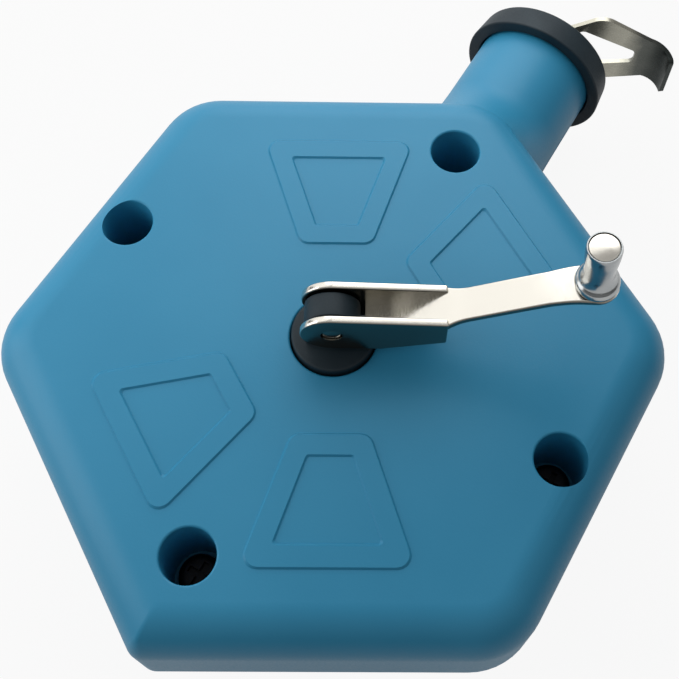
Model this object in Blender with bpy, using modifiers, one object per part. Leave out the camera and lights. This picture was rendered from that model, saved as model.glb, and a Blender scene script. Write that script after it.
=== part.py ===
"""Chalk line reel: a hexagonal two-shell case with a filler neck, a line spool turned by a
folding crank, and a line with a hook that comes out through the neck cap.

Metres, +Z up. The origin is on the spool axis at the case's flat back face. +Y runs along
the filler neck and +Z points out of the front face.
"""
import math

import bmesh
import bpy
from mathutils import Matrix, Vector

# Clearances
FIT_GAP = 0.0003
RIVET_GAP = 0.00015

# Case: a regular hexagon with a corner on the neck's side and a sharper one opposite
CASE_CORNER_REACH = 0.0600
CORNER_ROUND = 0.0122
TAIL_CORNER = 3
TAIL_ROUND = 0.0030
LEAST_ROUND = 0.0008
CASE_DEPTH = 0.0392
EDGE_ROUND = 0.0076
WALL = 0.0025
BACK_DRAFT = math.radians(8.0)

# Filler neck, measured from the spool axis
NECK_RADIUS = 0.0126
NECK_BORE_RADIUS = 0.0100
NECK_END = 0.0824
NECK_BLEND_START = 0.0495
NECK_BLEND_LENGTH = 0.0165

# Screw posts and screws
POST_INSET = 0.0087
COUNTERBORE_RADIUS = 0.0045
COUNTERBORE_DEPTH = 0.0165
POST_WALL = 0.0017
SCREW_SHANK_RADIUS = 0.0018
SCREW_HEAD_RADIUS = 0.0037
SCREW_HEAD_HEIGHT = 0.0024
SCREW_LENGTH = 0.0150

# Spool and its winding
FLANGE_RADIUS = 0.0350
FLANGE_THICKNESS = 0.0015
DRUM_RADIUS = 0.0110
WINDING_RADIUS = 0.0225
JOURNAL_RADIUS = 0.0060
JOURNAL_RISE = 0.0004
BUSH_WALL = 0.0020
BUSH_HEIGHT = 0.0025
SOCKET_WALL = 0.0020

# Crank hub
HUB_RADIUS = 0.0072
HUB_RISE = 0.0012
HUB_CHAMFER = 0.0005
SHOULDER_RADIUS = 0.0105
SHOULDER_THICKNESS = 0.0018
SEAL_THICKNESS = 0.0009
SHAFT_FLAT_RADIUS = 0.0045
SPOOL_WEB = 0.0015
HUB_SCREW_RADIUS = 0.0020
HUB_SCREW_HEAD_RADIUS = 0.0038
HUB_SCREW_HEAD_HEIGHT = 0.0019
HUB_SCREW_LENGTH = 0.0160
HUB_WASHER_THICKNESS = 0.0008

# Crank: lengths along the arm from its fold pin, heights over the front face
CRANK_ANGLE = math.radians(30.0)
PIN_HEIGHT = 0.0080
PIN_RADIUS = 0.0015
PIN_CHAMFER = 0.0002
SHEET = 0.0013
EAR_SPREAD = 0.0037
EAR_ROUND = 0.0052
EAR_LENGTH = 0.0188
EAR_END_HEIGHT = 0.0042
EAR_FOOT = 0.0080
EAR_FOOT_DROP = 0.0054
EAR_END_DROP = 0.0026
TONGUE_ROUND = 0.0046
WEB_FLOOR = (0.0054, -0.0016)
WEB_KNEE = (0.0088, -0.0010)
WEB_END = (0.0184, 0.0037)
BAR_START = (0.0220, 0.00525)
BAR_KNEE = (0.0340, 0.0110)
BAR_REACH = 0.0412
BAR_KNOB_HEIGHT = 0.01285
BAR_HALF_WIDTH = 0.00285
BAR_END_HALF_WIDTH = 0.00335

# Knob
KNOB_LEAN = math.radians(4.5)
KNOB_LENGTH = 0.0116
KNOB_FLANGE_RADIUS = 0.00355
KNOB_FLANGE_HEIGHT = 0.0012
KNOB_WAIST_RADIUS = 0.00245
KNOB_RIM_RADIUS = 0.00275
RIVET_RADIUS = 0.0015
RIVET_HEAD_RADIUS = 0.0023
RIVET_HEAD_HEIGHT = 0.0008
RIVET_FOOT_HEIGHT = 0.0008

# Neck cap, measured from the spool axis
CAP_START = 0.08015
CAP_LENGTH = 0.00585
CAP_RADIUS = 0.0154
CAP_END_RADIUS = 0.0149
CAP_EDGE = 0.0006
CAP_FLOOR = 0.0024
SEAL_RING_THICKNESS = 0.0006
SEAL_RING_WIDTH = 0.0018
LINE_HOLE_RADIUS = 0.0022
WIPER_RADIUS = 0.0055
WIPER_THICKNESS = 0.0011
RETAINER_RADIUS = 0.0072
RETAINER_THICKNESS = 0.0005

# Line, ring and hook
LINE_RADIUS = 0.0005
LINE_SPLICE = 0.0560
RING_RADIUS = 0.0032
RING_WIRE_RADIUS = 0.0004
LOOP_RADIUS = 0.00115
HOOK_ANGLE = math.radians(21.7)
HOOK_SHEET = 0.0010
HOOK_BAR = 0.0016
HOOK_BAR_CENTRE = 0.0015
CLAW_RADIUS = 0.0050
CLAW_TURN = math.radians(75.0)

# Hook outlines, as distance from the base bar and height over the line
HOOK_BEND = 0.0190
HOOK_BASE_HALF = 0.0054
HOOK_CREST = (0.0080, 0.0116)
HOOK_FOOT = (0.0058, -0.0094)
HOOK_BEND_TOP = 0.0061
HOOK_BEND_BOTTOM = -0.0053
HOOK_ROUND = 0.0040
CLAW_TIP_TOP = 0.0042
CLAW_TIP_BOTTOM = -0.0063
EYE_TIP = 0.0163
EYE_TIP_TOP = 0.0024
EYE_TIP_BOTTOM = -0.0012
EYE_CREST = (0.0044, 0.0069)
EYE_FOOT = (0.0026, -0.0050)
EYE_BASE_TOP = 0.0040
EYE_BASE_BOTTOM = -0.0034
EYE_ROUND = 0.0013

# Facets
ROUND_STEPS = 32
SMALL_STEPS = 20
CORNER_STEPS = 5
EDGE_STEPS = 4

# Places worked out from the sizes above
PARTING = CASE_DEPTH / 2
POST_PITCH_RADIUS = CASE_CORNER_REACH * math.cos(math.radians(30)) - POST_INSET
CAVITY_TOP = CASE_DEPTH - WALL
POST_RADIUS = COUNTERBORE_RADIUS + POST_WALL
EAR_INNER = EAR_SPREAD - SHEET
PIN_Z = CASE_DEPTH + PIN_HEIGHT
HUB_TOP = CASE_DEPTH + HUB_RISE
SHOULDER_TOP = CAVITY_TOP - 2 * FIT_GAP - SEAL_THICKNESS
SHOULDER_BOTTOM = SHOULDER_TOP - SHOULDER_THICKNESS
SPOOL_TOP = SHOULDER_BOTTOM - FIT_GAP
JOURNAL_BOTTOM = WALL + JOURNAL_RISE
BUSH_BOTTOM = WALL + FIT_GAP
BUSH_TOP = BUSH_BOTTOM + BUSH_HEIGHT
BUSH_RADIUS = JOURNAL_RADIUS + FIT_GAP + BUSH_WALL
SPOOL_BOTTOM = BUSH_TOP + FIT_GAP
SCREW_RECESS_RADIUS = HUB_SCREW_HEAD_RADIUS + 2 * FIT_GAP
WEB_BOTTOM = JOURNAL_BOTTOM + FIT_GAP + HUB_SCREW_HEAD_HEIGHT + HUB_WASHER_THICKNESS + 2 * FIT_GAP
WEB_TOP = WEB_BOTTOM + SPOOL_WEB
CAP_END = CAP_START + CAP_LENGTH
CUP_FLOOR = CAP_END - CAP_FLOOR
RING_CENTRE = CAP_END + FIT_GAP + RING_WIRE_RADIUS + RING_RADIUS
LOOP_CENTRE = RING_CENTRE - RING_RADIUS

COLOURS = {
    "case": ((0.065, 0.300, 0.440, 1.0), 0.50, 0.0),
    "black_plastic": ((0.012, 0.013, 0.014, 1.0), 0.55, 0.0),
    "spool_plastic": ((0.55, 0.55, 0.52, 1.0), 0.50, 0.0),
    "bright_steel": ((0.68, 0.66, 0.63, 1.0), 0.22, 1.0),
    "stamped_steel": ((0.35, 0.34, 0.31, 1.0), 0.38, 1.0),
    "zinc_steel": ((0.52, 0.52, 0.50, 1.0), 0.35, 1.0),
    "black_steel": ((0.020, 0.021, 0.023, 1.0), 0.50, 1.0),
    "rubber": ((0.020, 0.020, 0.022, 1.0), 0.75, 0.0),
    "felt": ((0.45, 0.43, 0.38, 1.0), 0.95, 0.0),
    "line": ((0.70, 0.69, 0.64, 1.0), 0.85, 0.0),
}


def new_collection(name):
    """Add a collection under the scene's own one."""
    made = bpy.data.collections.new(name)
    bpy.context.scene.collection.children.link(made)
    return made


def make_material(name):
    """Principled material from the colour list."""
    colour, roughness, metallic = COLOURS[name]
    made = bpy.data.materials.new(name)
    made.use_nodes = True
    shader = made.node_tree.nodes["Principled BSDF"]
    shader.inputs["Base Color"].default_value = colour
    shader.inputs["Roughness"].default_value = roughness
    shader.inputs["Metallic"].default_value = metallic
    return made


def clear_scene():
    """Remove what the file starts with."""
    for thing in list(bpy.data.objects):
        bpy.data.objects.remove(thing, do_unlink=True)


clear_scene()
PARTS = new_collection("chalk_line_reel")
CUTTERS = new_collection("cutters")
MATERIALS = {name: make_material(name) for name in COLOURS}


def place(made, parent):
    """Put an object under its parent empty, in that empty's frame."""
    if parent is not None:
        made.parent = parent
    return made


def part(name, data, material, parent=None):
    """A sub-part of the reel."""
    made = bpy.data.objects.new(name, data)
    data.materials.append(MATERIALS[material])
    PARTS.objects.link(made)
    if hasattr(data, "shade_smooth"):
        data.shade_smooth()
        data.set_sharp_from_angle(angle=math.radians(35))
    return place(made, parent)


def tool(name, data, parent=None):
    """A cutter or a body that is joined to a part."""
    made = bpy.data.objects.new(name, data)
    CUTTERS.objects.link(made)
    made.hide_render = True
    made.display_type = "WIRE"
    return place(made, parent)


def frame(name, location=(0, 0, 0), rotation=(0, 0, 0), parent=None):
    """An empty that carries pieces on one axis."""
    made = bpy.data.objects.new(name, None)
    PARTS.objects.link(made)
    made.location = location
    made.rotation_euler = rotation
    return place(made, parent)


def mesh_from(build, name="shape"):
    """A mesh filled by a bmesh function."""
    shape = bmesh.new()
    build(shape)
    bmesh.ops.recalc_face_normals(shape, faces=shape.faces)
    data = bpy.data.meshes.new(name)
    shape.to_mesh(data)
    shape.free()
    return data


def prism(outline, bottom, top):
    """A flat outline in XY, extruded from bottom to top."""
    def build(shape):
        face = shape.faces.new([shape.verts.new((x, y, bottom)) for x, y in outline])
        grown = bmesh.ops.extrude_face_region(shape, geom=[face])["geom"]
        moved = [item for item in grown if isinstance(item, bmesh.types.BMVert)]
        bmesh.ops.translate(shape, verts=moved, vec=(0, 0, top - bottom))
    return mesh_from(build)


def rod(radius, bottom, top, steps=SMALL_STEPS, centre=(0, 0), turn=0.0):
    """A closed cylinder along Z."""
    def build(shape):
        middle = Matrix.Translation((centre[0], centre[1], (bottom + top) / 2))
        bmesh.ops.create_cone(
            shape, cap_ends=True, segments=steps, radius1=radius, radius2=radius,
            depth=top - bottom, matrix=middle @ Matrix.Rotation(turn, 4, "Z"))
    return mesh_from(build)


def box(low, high):
    """A closed box between two corners."""
    def build(shape):
        size = Vector(high) - Vector(low)
        middle = (Vector(high) + Vector(low)) / 2
        bmesh.ops.create_cube(
            shape, size=1.0, matrix=Matrix.Translation(middle) @ Matrix.Diagonal(size.to_4d()))
    return mesh_from(build)


def loft(rings):
    """A closed skin over rings that have the same number of points."""
    def build(shape):
        rows = [[shape.verts.new(point) for point in ring] for ring in rings]
        count = len(rows[0])
        for near, far in zip(rows, rows[1:]):
            for i in range(count):
                j = (i + 1) % count
                shape.faces.new((near[i], near[j], far[j], far[i]))
        shape.faces.new(rows[0])
        shape.faces.new(rows[-1])
    return mesh_from(build)


def profile(points, closed):
    """An edge chain in XZ for a turned shape, from the top down on its outer side."""
    data = bpy.data.meshes.new("profile")
    edges = [(i, i + 1) for i in range(len(points) - 1)]
    if closed:
        edges.append((len(points) - 1, 0))
    data.from_pydata([(radius, 0, height) for radius, height in points], edges, [])
    return data


def turn(made, steps=ROUND_STEPS):
    """Turn an object's profile about its own Z axis."""
    screw = made.modifiers.new("turn", "SCREW")
    screw.axis = "Z"
    screw.angle = math.tau
    screw.steps = steps
    screw.render_steps = steps
    screw.use_merge_vertices = True
    screw.merge_threshold = 0.000001
    screw.use_smooth_shade = False
    return made


def combine(made, other, operation):
    """Boolean of one object with another, in world space."""
    step = made.modifiers.new(other.name, "BOOLEAN")
    step.object = other
    step.operation = operation
    step.solver = "EXACT"
    return made


def arc(centre, radius, start, end, steps):
    """Points on an arc in a plane, both ends included."""
    sweep = [start + (end - start) * i / steps for i in range(steps + 1)]
    return [(centre[0] + radius * math.cos(a), centre[1] + radius * math.sin(a)) for a in sweep]


def hexagon(drawn_in):
    """Outline of the case's hexagon with a corner on +Y and rounded corners, drawn in all round."""
    outline = []
    half = math.radians(30)
    for k in range(6):
        middle = math.radians(90 + 60 * k)
        full_round = TAIL_ROUND if k == TAIL_CORNER else CORNER_ROUND
        corner_round = max(full_round - drawn_in, LEAST_ROUND)
        centre_reach = CASE_CORNER_REACH - (drawn_in + corner_round) / math.cos(half)
        centre = (centre_reach * math.cos(middle), centre_reach * math.sin(middle))
        outline += arc(centre, corner_round, middle - half, middle + half, CORNER_STEPS)
    return outline


def rounded(corners):
    """Outline through corners that are given as x, y and rounding."""
    outline = []
    for before, corner, after in zip(corners[-1:] + corners[:-1], corners, corners[1:] + corners[:1]):
        here = Vector(corner[:2])
        back = (Vector(before[:2]) - here).normalized()
        ahead = (Vector(after[:2]) - here).normalized()
        half = back.angle(ahead) / 2
        middle = here + (back + ahead).normalized() * corner[2] / math.sin(half)
        start = (here + back * corner[2] / math.tan(half) - middle).normalized()
        end = (here + ahead * corner[2] / math.tan(half) - middle).normalized()
        for i in range(CORNER_STEPS + 1):
            outline.append(tuple(middle + start.slerp(end, i / CORNER_STEPS) * corner[2]))
    return outline


def case_form(inset):
    """Hexagonal block with rounded rims, upright front walls and drafted rear walls, drawn in all round."""
    edge = EDGE_ROUND - inset
    sweep = [math.pi / 2 * i / EDGE_STEPS for i in range(EDGE_STEPS + 1)]
    rings = []
    for turned in reversed(sweep):
        height = inset + edge * (1 - math.sin(turned))
        drawn_in = inset + edge * (1 - math.cos(turned)) + (PARTING - height) * math.tan(BACK_DRAFT)
        rings.append([(x, y, height) for x, y in hexagon(drawn_in)])
    rings.append([(x, y, PARTING) for x, y in hexagon(inset)])
    for turned in sweep:
        height = CASE_DEPTH - inset - edge * (1 - math.sin(turned))
        rings.append([(x, y, height) for x, y in hexagon(inset + edge * (1 - math.cos(turned)))])
    return loft(rings)


def post_places():
    """Screw posts on the spool's four sides."""
    for k in range(4):
        angle = math.radians(90 * k)
        yield k + 1, POST_PITCH_RADIUS * math.cos(angle), POST_PITCH_RADIUS * math.sin(angle)


def neck_section(reach, height):
    """Elliptic ring round the neck axis, as wide as the neck and as high as asked."""
    sweep = [math.tau * i / ROUND_STEPS for i in range(ROUND_STEPS)]
    return [(NECK_RADIUS * math.cos(a), reach, PARTING + height * math.sin(a)) for a in sweep]


def neck_body():
    """Solid neck that comes down from the case's faces to a round tube."""
    face = PARTING - FIT_GAP
    blend_steps = 6
    rings = [neck_section(POST_PITCH_RADIUS, face)]
    for i in range(blend_steps + 1):
        share = i / blend_steps
        fall = (1 + math.cos(math.pi * share)) / 2
        height = NECK_RADIUS + (face - NECK_RADIUS) * fall
        rings.append(neck_section(NECK_BLEND_START + NECK_BLEND_LENGTH * share, height))
    rings.append(neck_section(NECK_END, NECK_RADIUS))
    return loft(rings)


def along_neck(made):
    """Turn an object's Z axis onto the neck axis."""
    made.location = (0, 0, PARTING)
    made.rotation_euler = (-math.pi / 2, 0, 0)
    return made


def case_cavity():
    """The hollow of the case, less the screw posts and the rear bearing socket."""
    cavity = tool("cavity", case_form(WALL))
    for k, x, y in post_places():
        post = tool(f"post_{k}", rod(POST_RADIUS, 0, CASE_DEPTH, SMALL_STEPS, (x, y)))
        combine(cavity, post, "DIFFERENCE")
    socket_inner = BUSH_RADIUS + FIT_GAP
    socket_outer = socket_inner + SOCKET_WALL
    socket_top = BUSH_TOP - FIT_GAP
    socket_points = [(socket_outer, socket_top), (socket_outer, 0), (socket_inner, 0), (socket_inner, socket_top)]
    socket = turn(tool("bush_socket", profile(socket_points, True)))
    return combine(cavity, socket, "DIFFERENCE")


def shell_pair():
    """Front and rear shells, parted on the plane of the neck axis."""
    neck = tool("neck", neck_body())
    cavity = case_cavity()
    bore_start = POST_PITCH_RADIUS + POST_RADIUS + FIT_GAP
    bore = along_neck(tool("neck_bore", rod(NECK_BORE_RADIUS, bore_start, 2 * NECK_END, ROUND_STEPS)))
    reach = 2 * NECK_END
    halves = (
        ("front_shell", PARTING + FIT_GAP / 2, 2 * CASE_DEPTH),
        ("back_shell", -CASE_DEPTH, PARTING - FIT_GAP / 2),
    )
    shells = []
    for name, low, high in halves:
        shell = part(name, case_form(0), "case")
        half = tool(f"{name}_half", box((-reach, -reach, low), (reach, reach, high)))
        combine(shell, neck, "UNION")
        combine(shell, cavity, "DIFFERENCE")
        combine(shell, bore, "DIFFERENCE")
        combine(shell, half, "INTERSECT")
        shells.append(shell)
    return shells


def screw_holes(front_shell, back_shell):
    """Stepped holes through the front posts and blind holes in the rear posts."""
    shank_hole = SCREW_SHANK_RADIUS + FIT_GAP
    counterbore_floor = CASE_DEPTH - COUNTERBORE_DEPTH
    hole_bottom = counterbore_floor - SCREW_LENGTH - FIT_GAP
    above = CASE_DEPTH + WALL
    steps = [
        (0, above), (COUNTERBORE_RADIUS, above), (COUNTERBORE_RADIUS, counterbore_floor),
        (shank_hole, counterbore_floor), (shank_hole, hole_bottom), (0, hole_bottom),
    ]
    for k, x, y in post_places():
        hole = turn(tool(f"screw_hole_{k}", profile(steps, False)), SMALL_STEPS)
        hole.location = (x, y, 0)
        combine(front_shell, hole, "DIFFERENCE")
        combine(back_shell, hole, "DIFFERENCE")


def case():
    """Both shells with their holes."""
    front_shell, back_shell = shell_pair()
    screw_holes(front_shell, back_shell)
    hub_hole = tool("hub_hole", rod(HUB_RADIUS + FIT_GAP, PARTING, CASE_DEPTH + WALL, ROUND_STEPS))
    combine(front_shell, hub_hole, "DIFFERENCE")


def case_screws():
    """One pan head screw at the bottom of each counterbore."""
    seat = CASE_DEPTH - COUNTERBORE_DEPTH + FIT_GAP
    top = seat + SCREW_HEAD_HEIGHT
    tip = seat - SCREW_LENGTH
    shoulder = SCREW_HEAD_RADIUS * 0.75
    points = [
        (0, top), (shoulder, top), (SCREW_HEAD_RADIUS, top - SCREW_HEAD_HEIGHT / 2),
        (SCREW_HEAD_RADIUS, seat), (SCREW_SHANK_RADIUS, seat), (SCREW_SHANK_RADIUS, tip), (0, tip),
    ]
    for k, x, y in post_places():
        screw = turn(part(f"case_screw_{k}", profile(points, False), "black_steel"), SMALL_STEPS)
        screw.location = (x, y, 0)


def spool():
    """Flanged drum on the hub's six-sided shaft, with a hollow journal at the rear."""
    top_flange = SPOOL_TOP - FIT_GAP
    points = [
        (0, SPOOL_TOP), (DRUM_RADIUS, SPOOL_TOP), (DRUM_RADIUS, top_flange), (FLANGE_RADIUS, top_flange),
        (FLANGE_RADIUS, top_flange - FLANGE_THICKNESS), (DRUM_RADIUS, top_flange - FLANGE_THICKNESS),
        (DRUM_RADIUS, SPOOL_BOTTOM + FLANGE_THICKNESS), (FLANGE_RADIUS, SPOOL_BOTTOM + FLANGE_THICKNESS),
        (FLANGE_RADIUS, SPOOL_BOTTOM), (JOURNAL_RADIUS, SPOOL_BOTTOM), (JOURNAL_RADIUS, JOURNAL_BOTTOM),
        (0, JOURNAL_BOTTOM),
    ]
    drum = turn(part("spool", profile(points, False), "spool_plastic"))
    across = (SHAFT_FLAT_RADIUS + FIT_GAP) / math.cos(math.radians(30))
    socket = tool("shaft_socket", rod(across, WEB_TOP, CASE_DEPTH, 6))
    recess = tool("screw_recess", rod(SCREW_RECESS_RADIUS, 0, WEB_BOTTOM))
    hole = tool("spool_screw_hole", rod(HUB_SCREW_RADIUS + FIT_GAP, JOURNAL_BOTTOM, PARTING))
    for cutter in (socket, recess, hole):
        combine(drum, cutter, "DIFFERENCE")


def line_winding():
    """The wound line on the drum."""
    inner = DRUM_RADIUS + FIT_GAP
    low = SPOOL_BOTTOM + FLANGE_THICKNESS + FIT_GAP
    high = SPOOL_TOP - FLANGE_THICKNESS - 2 * FIT_GAP
    points = [(WINDING_RADIUS, high), (WINDING_RADIUS, low), (inner, low), (inner, high)]
    turn(part("line_winding", profile(points, True), "line"))


def ring_part(name, inner, outer, low, high, material, steps=ROUND_STEPS):
    """A flat ring about the object's Z axis."""
    points = [(outer, high), (outer, low), (inner, low), (inner, high)]
    return turn(part(name, profile(points, True), material), steps)


def spool_bearings():
    """Rear bush, hub seal, and the screw and washer that clamp the spool to the hub."""
    ring_part("rear_bush", JOURNAL_RADIUS + FIT_GAP, BUSH_RADIUS, BUSH_BOTTOM, BUSH_TOP, "black_plastic")
    seal_bottom = SHOULDER_TOP + FIT_GAP
    ring_part("hub_seal", HUB_RADIUS + FIT_GAP, SHOULDER_RADIUS, seal_bottom, seal_bottom + SEAL_THICKNESS, "felt")
    washer_top = WEB_BOTTOM - FIT_GAP
    washer_bottom = washer_top - HUB_WASHER_THICKNESS
    hole = HUB_SCREW_RADIUS + FIT_GAP
    ring_part("hub_washer", hole, HUB_SCREW_HEAD_RADIUS, washer_bottom, washer_top, "zinc_steel", SMALL_STEPS)
    seat = washer_bottom - FIT_GAP
    head = seat - HUB_SCREW_HEAD_HEIGHT
    tip = seat + HUB_SCREW_LENGTH
    points = [
        (0, tip), (HUB_SCREW_RADIUS, tip), (HUB_SCREW_RADIUS, seat), (HUB_SCREW_HEAD_RADIUS, seat),
        (HUB_SCREW_HEAD_RADIUS, head), (0, head),
    ]
    turn(part("hub_screw", profile(points, False), "zinc_steel"), SMALL_STEPS)


def crank_frame():
    """Frame on the crank's fold pin: X along the arm, Y along the pin."""
    return frame("crank_axis", (0, 0, PIN_Z), (0, 0, CRANK_ANGLE))


def upright(made):
    """Stand an XY outline up so that its Y becomes the crank frame's Z."""
    made.rotation_euler = (math.pi / 2, 0, 0)
    return made


def crank_hub(crank):
    """Hub disc, shoulder, drive shaft and the tongue that the crank folds on."""
    points = [
        (0, HUB_TOP), (HUB_RADIUS - HUB_CHAMFER, HUB_TOP), (HUB_RADIUS, HUB_TOP - HUB_CHAMFER),
        (HUB_RADIUS, SHOULDER_TOP), (SHOULDER_RADIUS, SHOULDER_TOP), (SHOULDER_RADIUS, SHOULDER_BOTTOM),
        (0, SHOULDER_BOTTOM),
    ]
    hub = turn(part("crank_hub", profile(points, False), "black_plastic"))
    across = SHAFT_FLAT_RADIUS / math.cos(math.radians(30))
    shaft = tool("hub_shaft", rod(across, WEB_TOP + FIT_GAP, SHOULDER_TOP, 6))
    root = HUB_TOP - HUB_CHAMFER - PIN_Z
    outline = arc((0, 0), TONGUE_ROUND, 0, math.pi, 10)
    outline += [(-TONGUE_ROUND, root), (TONGUE_ROUND, root)]
    half = EAR_INNER - FIT_GAP
    tongue = upright(tool("hub_tongue", prism(outline, -half, half), crank))
    pin_hole = upright(tool("tongue_hole", rod(PIN_RADIUS + FIT_GAP, -EAR_SPREAD, EAR_SPREAD), crank))
    tip = JOURNAL_BOTTOM + HUB_SCREW_HEAD_HEIGHT + HUB_SCREW_LENGTH
    bore = tool("hub_screw_bore", rod(HUB_SCREW_RADIUS + FIT_GAP, 0, tip + 2 * FIT_GAP))
    combine(hub, shaft, "UNION")
    combine(hub, tongue, "UNION")
    combine(hub, pin_hole, "DIFFERENCE")
    combine(hub, bore, "DIFFERENCE")


def bar_spine():
    """Top line of the crank's sheet in the crank frame: distance, height and half width."""
    inside = EAR_INNER + SHEET / 2
    mid_web = ((WEB_KNEE[0] + WEB_END[0]) / 2, (WEB_KNEE[1] + WEB_END[1]) / 2)
    spine = [(*WEB_FLOOR, inside), (*WEB_KNEE, inside), (*mid_web, inside), (*WEB_END, EAR_SPREAD - SHEET / 10)]
    bar_steps = 3
    for i in range(bar_steps + 1):
        share = i / bar_steps
        reach = BAR_START[0] + (BAR_KNEE[0] - BAR_START[0]) * share
        height = BAR_START[1] + (BAR_KNEE[1] - BAR_START[1]) * share
        spine.append((reach, height, BAR_HALF_WIDTH))
    slope = math.tan(KNOB_LEAN)
    crest = (BAR_KNEE[0] + BAR_REACH) / 2
    crest_height = BAR_KNOB_HEIGHT - slope * (BAR_REACH - crest) - SHEET / 8
    spine.append((crest, crest_height, (BAR_HALF_WIDTH + BAR_END_HALF_WIDTH) / 2))
    for angle in (0, 30, 55, 75, 88):
        turned = math.radians(angle)
        reach = BAR_REACH + BAR_END_HALF_WIDTH * math.sin(turned)
        width = BAR_END_HALF_WIDTH * math.cos(turned)
        spine.append((reach, BAR_KNOB_HEIGHT + slope * (reach - BAR_REACH), width))
    return spine


def bar_body():
    """The crank's bent sheet as a loft of flat sections."""
    spine = bar_spine()
    rings = []
    for i, (reach, height, width) in enumerate(spine):
        before = spine[max(i - 1, 0)]
        after = spine[min(i + 1, len(spine) - 1)]
        along = Vector((after[0] - before[0], 0, after[1] - before[1])).normalized()
        down = Vector((along.z, 0, -along.x)) * SHEET
        top = Vector((reach, 0, height))
        side = Vector((0, width, 0))
        rings.append([top - side, top + side, top + side + down, top - side + down])
    return loft(rings)


def ear_outline():
    """Side view of an ear: round at the pin, narrowing to the bar."""
    outline = arc((0, 0), EAR_ROUND, math.radians(87), math.radians(270), 12)
    outline += [(EAR_FOOT, -EAR_FOOT_DROP), (EAR_LENGTH, -EAR_END_DROP), (EAR_LENGTH, EAR_END_HEIGHT)]
    return outline


def crank_arm(crank, knob):
    """Sheet lever with two ears, pin holes and the knob's rivet hole."""
    arm = part("crank_arm", bar_body(), "bright_steel", crank)
    for name, low, high in (("near", EAR_INNER, EAR_SPREAD), ("far", -EAR_SPREAD, -EAR_INNER)):
        ear = upright(tool(f"ear_{name}", prism(ear_outline(), low, high), crank))
        combine(arm, ear, "UNION")
    pin_hole = upright(tool("ear_hole", rod(PIN_RADIUS + FIT_GAP, -2 * EAR_SPREAD, 2 * EAR_SPREAD), crank))
    combine(arm, pin_hole, "DIFFERENCE")
    rivet_hole = tool("rivet_hole", rod(RIVET_RADIUS + FIT_GAP, -4 * SHEET, 4 * SHEET), knob)
    combine(arm, rivet_hole, "DIFFERENCE")


def crank_pin(crank):
    """Pin through both ears and the tongue, flush with the ears."""
    neck = PIN_RADIUS - PIN_CHAMFER
    shoulder = EAR_SPREAD - PIN_CHAMFER
    points = [
        (0, EAR_SPREAD), (neck, EAR_SPREAD), (PIN_RADIUS, shoulder), (PIN_RADIUS, -shoulder),
        (neck, -EAR_SPREAD), (0, -EAR_SPREAD),
    ]
    pin = turn(part("crank_pin", profile(points, False), "bright_steel", crank), SMALL_STEPS)
    upright(pin)


def knob_frame(crank):
    """Frame on the knob's leaning axis, at the bar's top face."""
    return frame("knob_axis", (BAR_REACH, 0, BAR_KNOB_HEIGHT), (0, -KNOB_LEAN, 0), crank)


def knob_sleeve(knob):
    """Turned knob: flared foot, slim waist and a rim round the rivet's head."""
    bore = RIVET_RADIUS + FIT_GAP
    recess = RIVET_HEAD_RADIUS + RIVET_GAP
    recess_floor = KNOB_LENGTH - RIVET_HEAD_HEIGHT - FIT_GAP
    foot = FIT_GAP
    flare = foot + KNOB_FLANGE_HEIGHT
    points = [
        (KNOB_RIM_RADIUS - RIVET_GAP, KNOB_LENGTH), (KNOB_RIM_RADIUS, KNOB_LENGTH - 2 * RIVET_GAP),
        (KNOB_RIM_RADIUS, recess_floor - RIVET_HEAD_HEIGHT), (KNOB_WAIST_RADIUS, KNOB_LENGTH / 2),
        (KNOB_WAIST_RADIUS, flare + KNOB_FLANGE_HEIGHT),
        ((KNOB_WAIST_RADIUS + KNOB_FLANGE_RADIUS) / 2, flare + KNOB_FLANGE_HEIGHT / 4),
        (KNOB_FLANGE_RADIUS, (foot + flare) / 2), (KNOB_FLANGE_RADIUS, foot), (bore, foot),
        (bore, recess_floor), (recess, recess_floor), (recess, KNOB_LENGTH),
    ]
    turn(part("knob_sleeve", profile(points, True), "bright_steel", knob), 24)


def knob_rivet(knob):
    """Rivet through the bar and the knob."""
    head_bottom = KNOB_LENGTH - RIVET_HEAD_HEIGHT
    under = -SHEET - 2 * FIT_GAP
    foot = under - RIVET_FOOT_HEIGHT
    points = [
        (0, KNOB_LENGTH), (RIVET_HEAD_RADIUS, KNOB_LENGTH), (RIVET_HEAD_RADIUS, head_bottom),
        (RIVET_RADIUS, head_bottom), (RIVET_RADIUS, under), (RIVET_HEAD_RADIUS, under),
        (RIVET_HEAD_RADIUS, foot), (0, foot),
    ]
    turn(part("knob_rivet", profile(points, False), "bright_steel", knob), 24)


def neck_cap():
    """Cap over the neck's end, with the line hole and the felt's pocket."""
    cup = NECK_RADIUS + FIT_GAP
    pocket = WIPER_RADIUS + FIT_GAP
    pocket_floor = CUP_FLOOR + WIPER_THICKNESS + FIT_GAP
    points = [
        (CAP_END_RADIUS - CAP_EDGE, CAP_END), (CAP_END_RADIUS, CAP_END - CAP_EDGE), (CAP_RADIUS, CAP_START),
        (cup, CAP_START), (cup, CUP_FLOOR), (pocket, CUP_FLOOR), (pocket, pocket_floor),
        (LINE_HOLE_RADIUS, pocket_floor), (LINE_HOLE_RADIUS, CAP_END),
    ]
    along_neck(turn(part("neck_cap", profile(points, True), "black_plastic"), 40))


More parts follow.
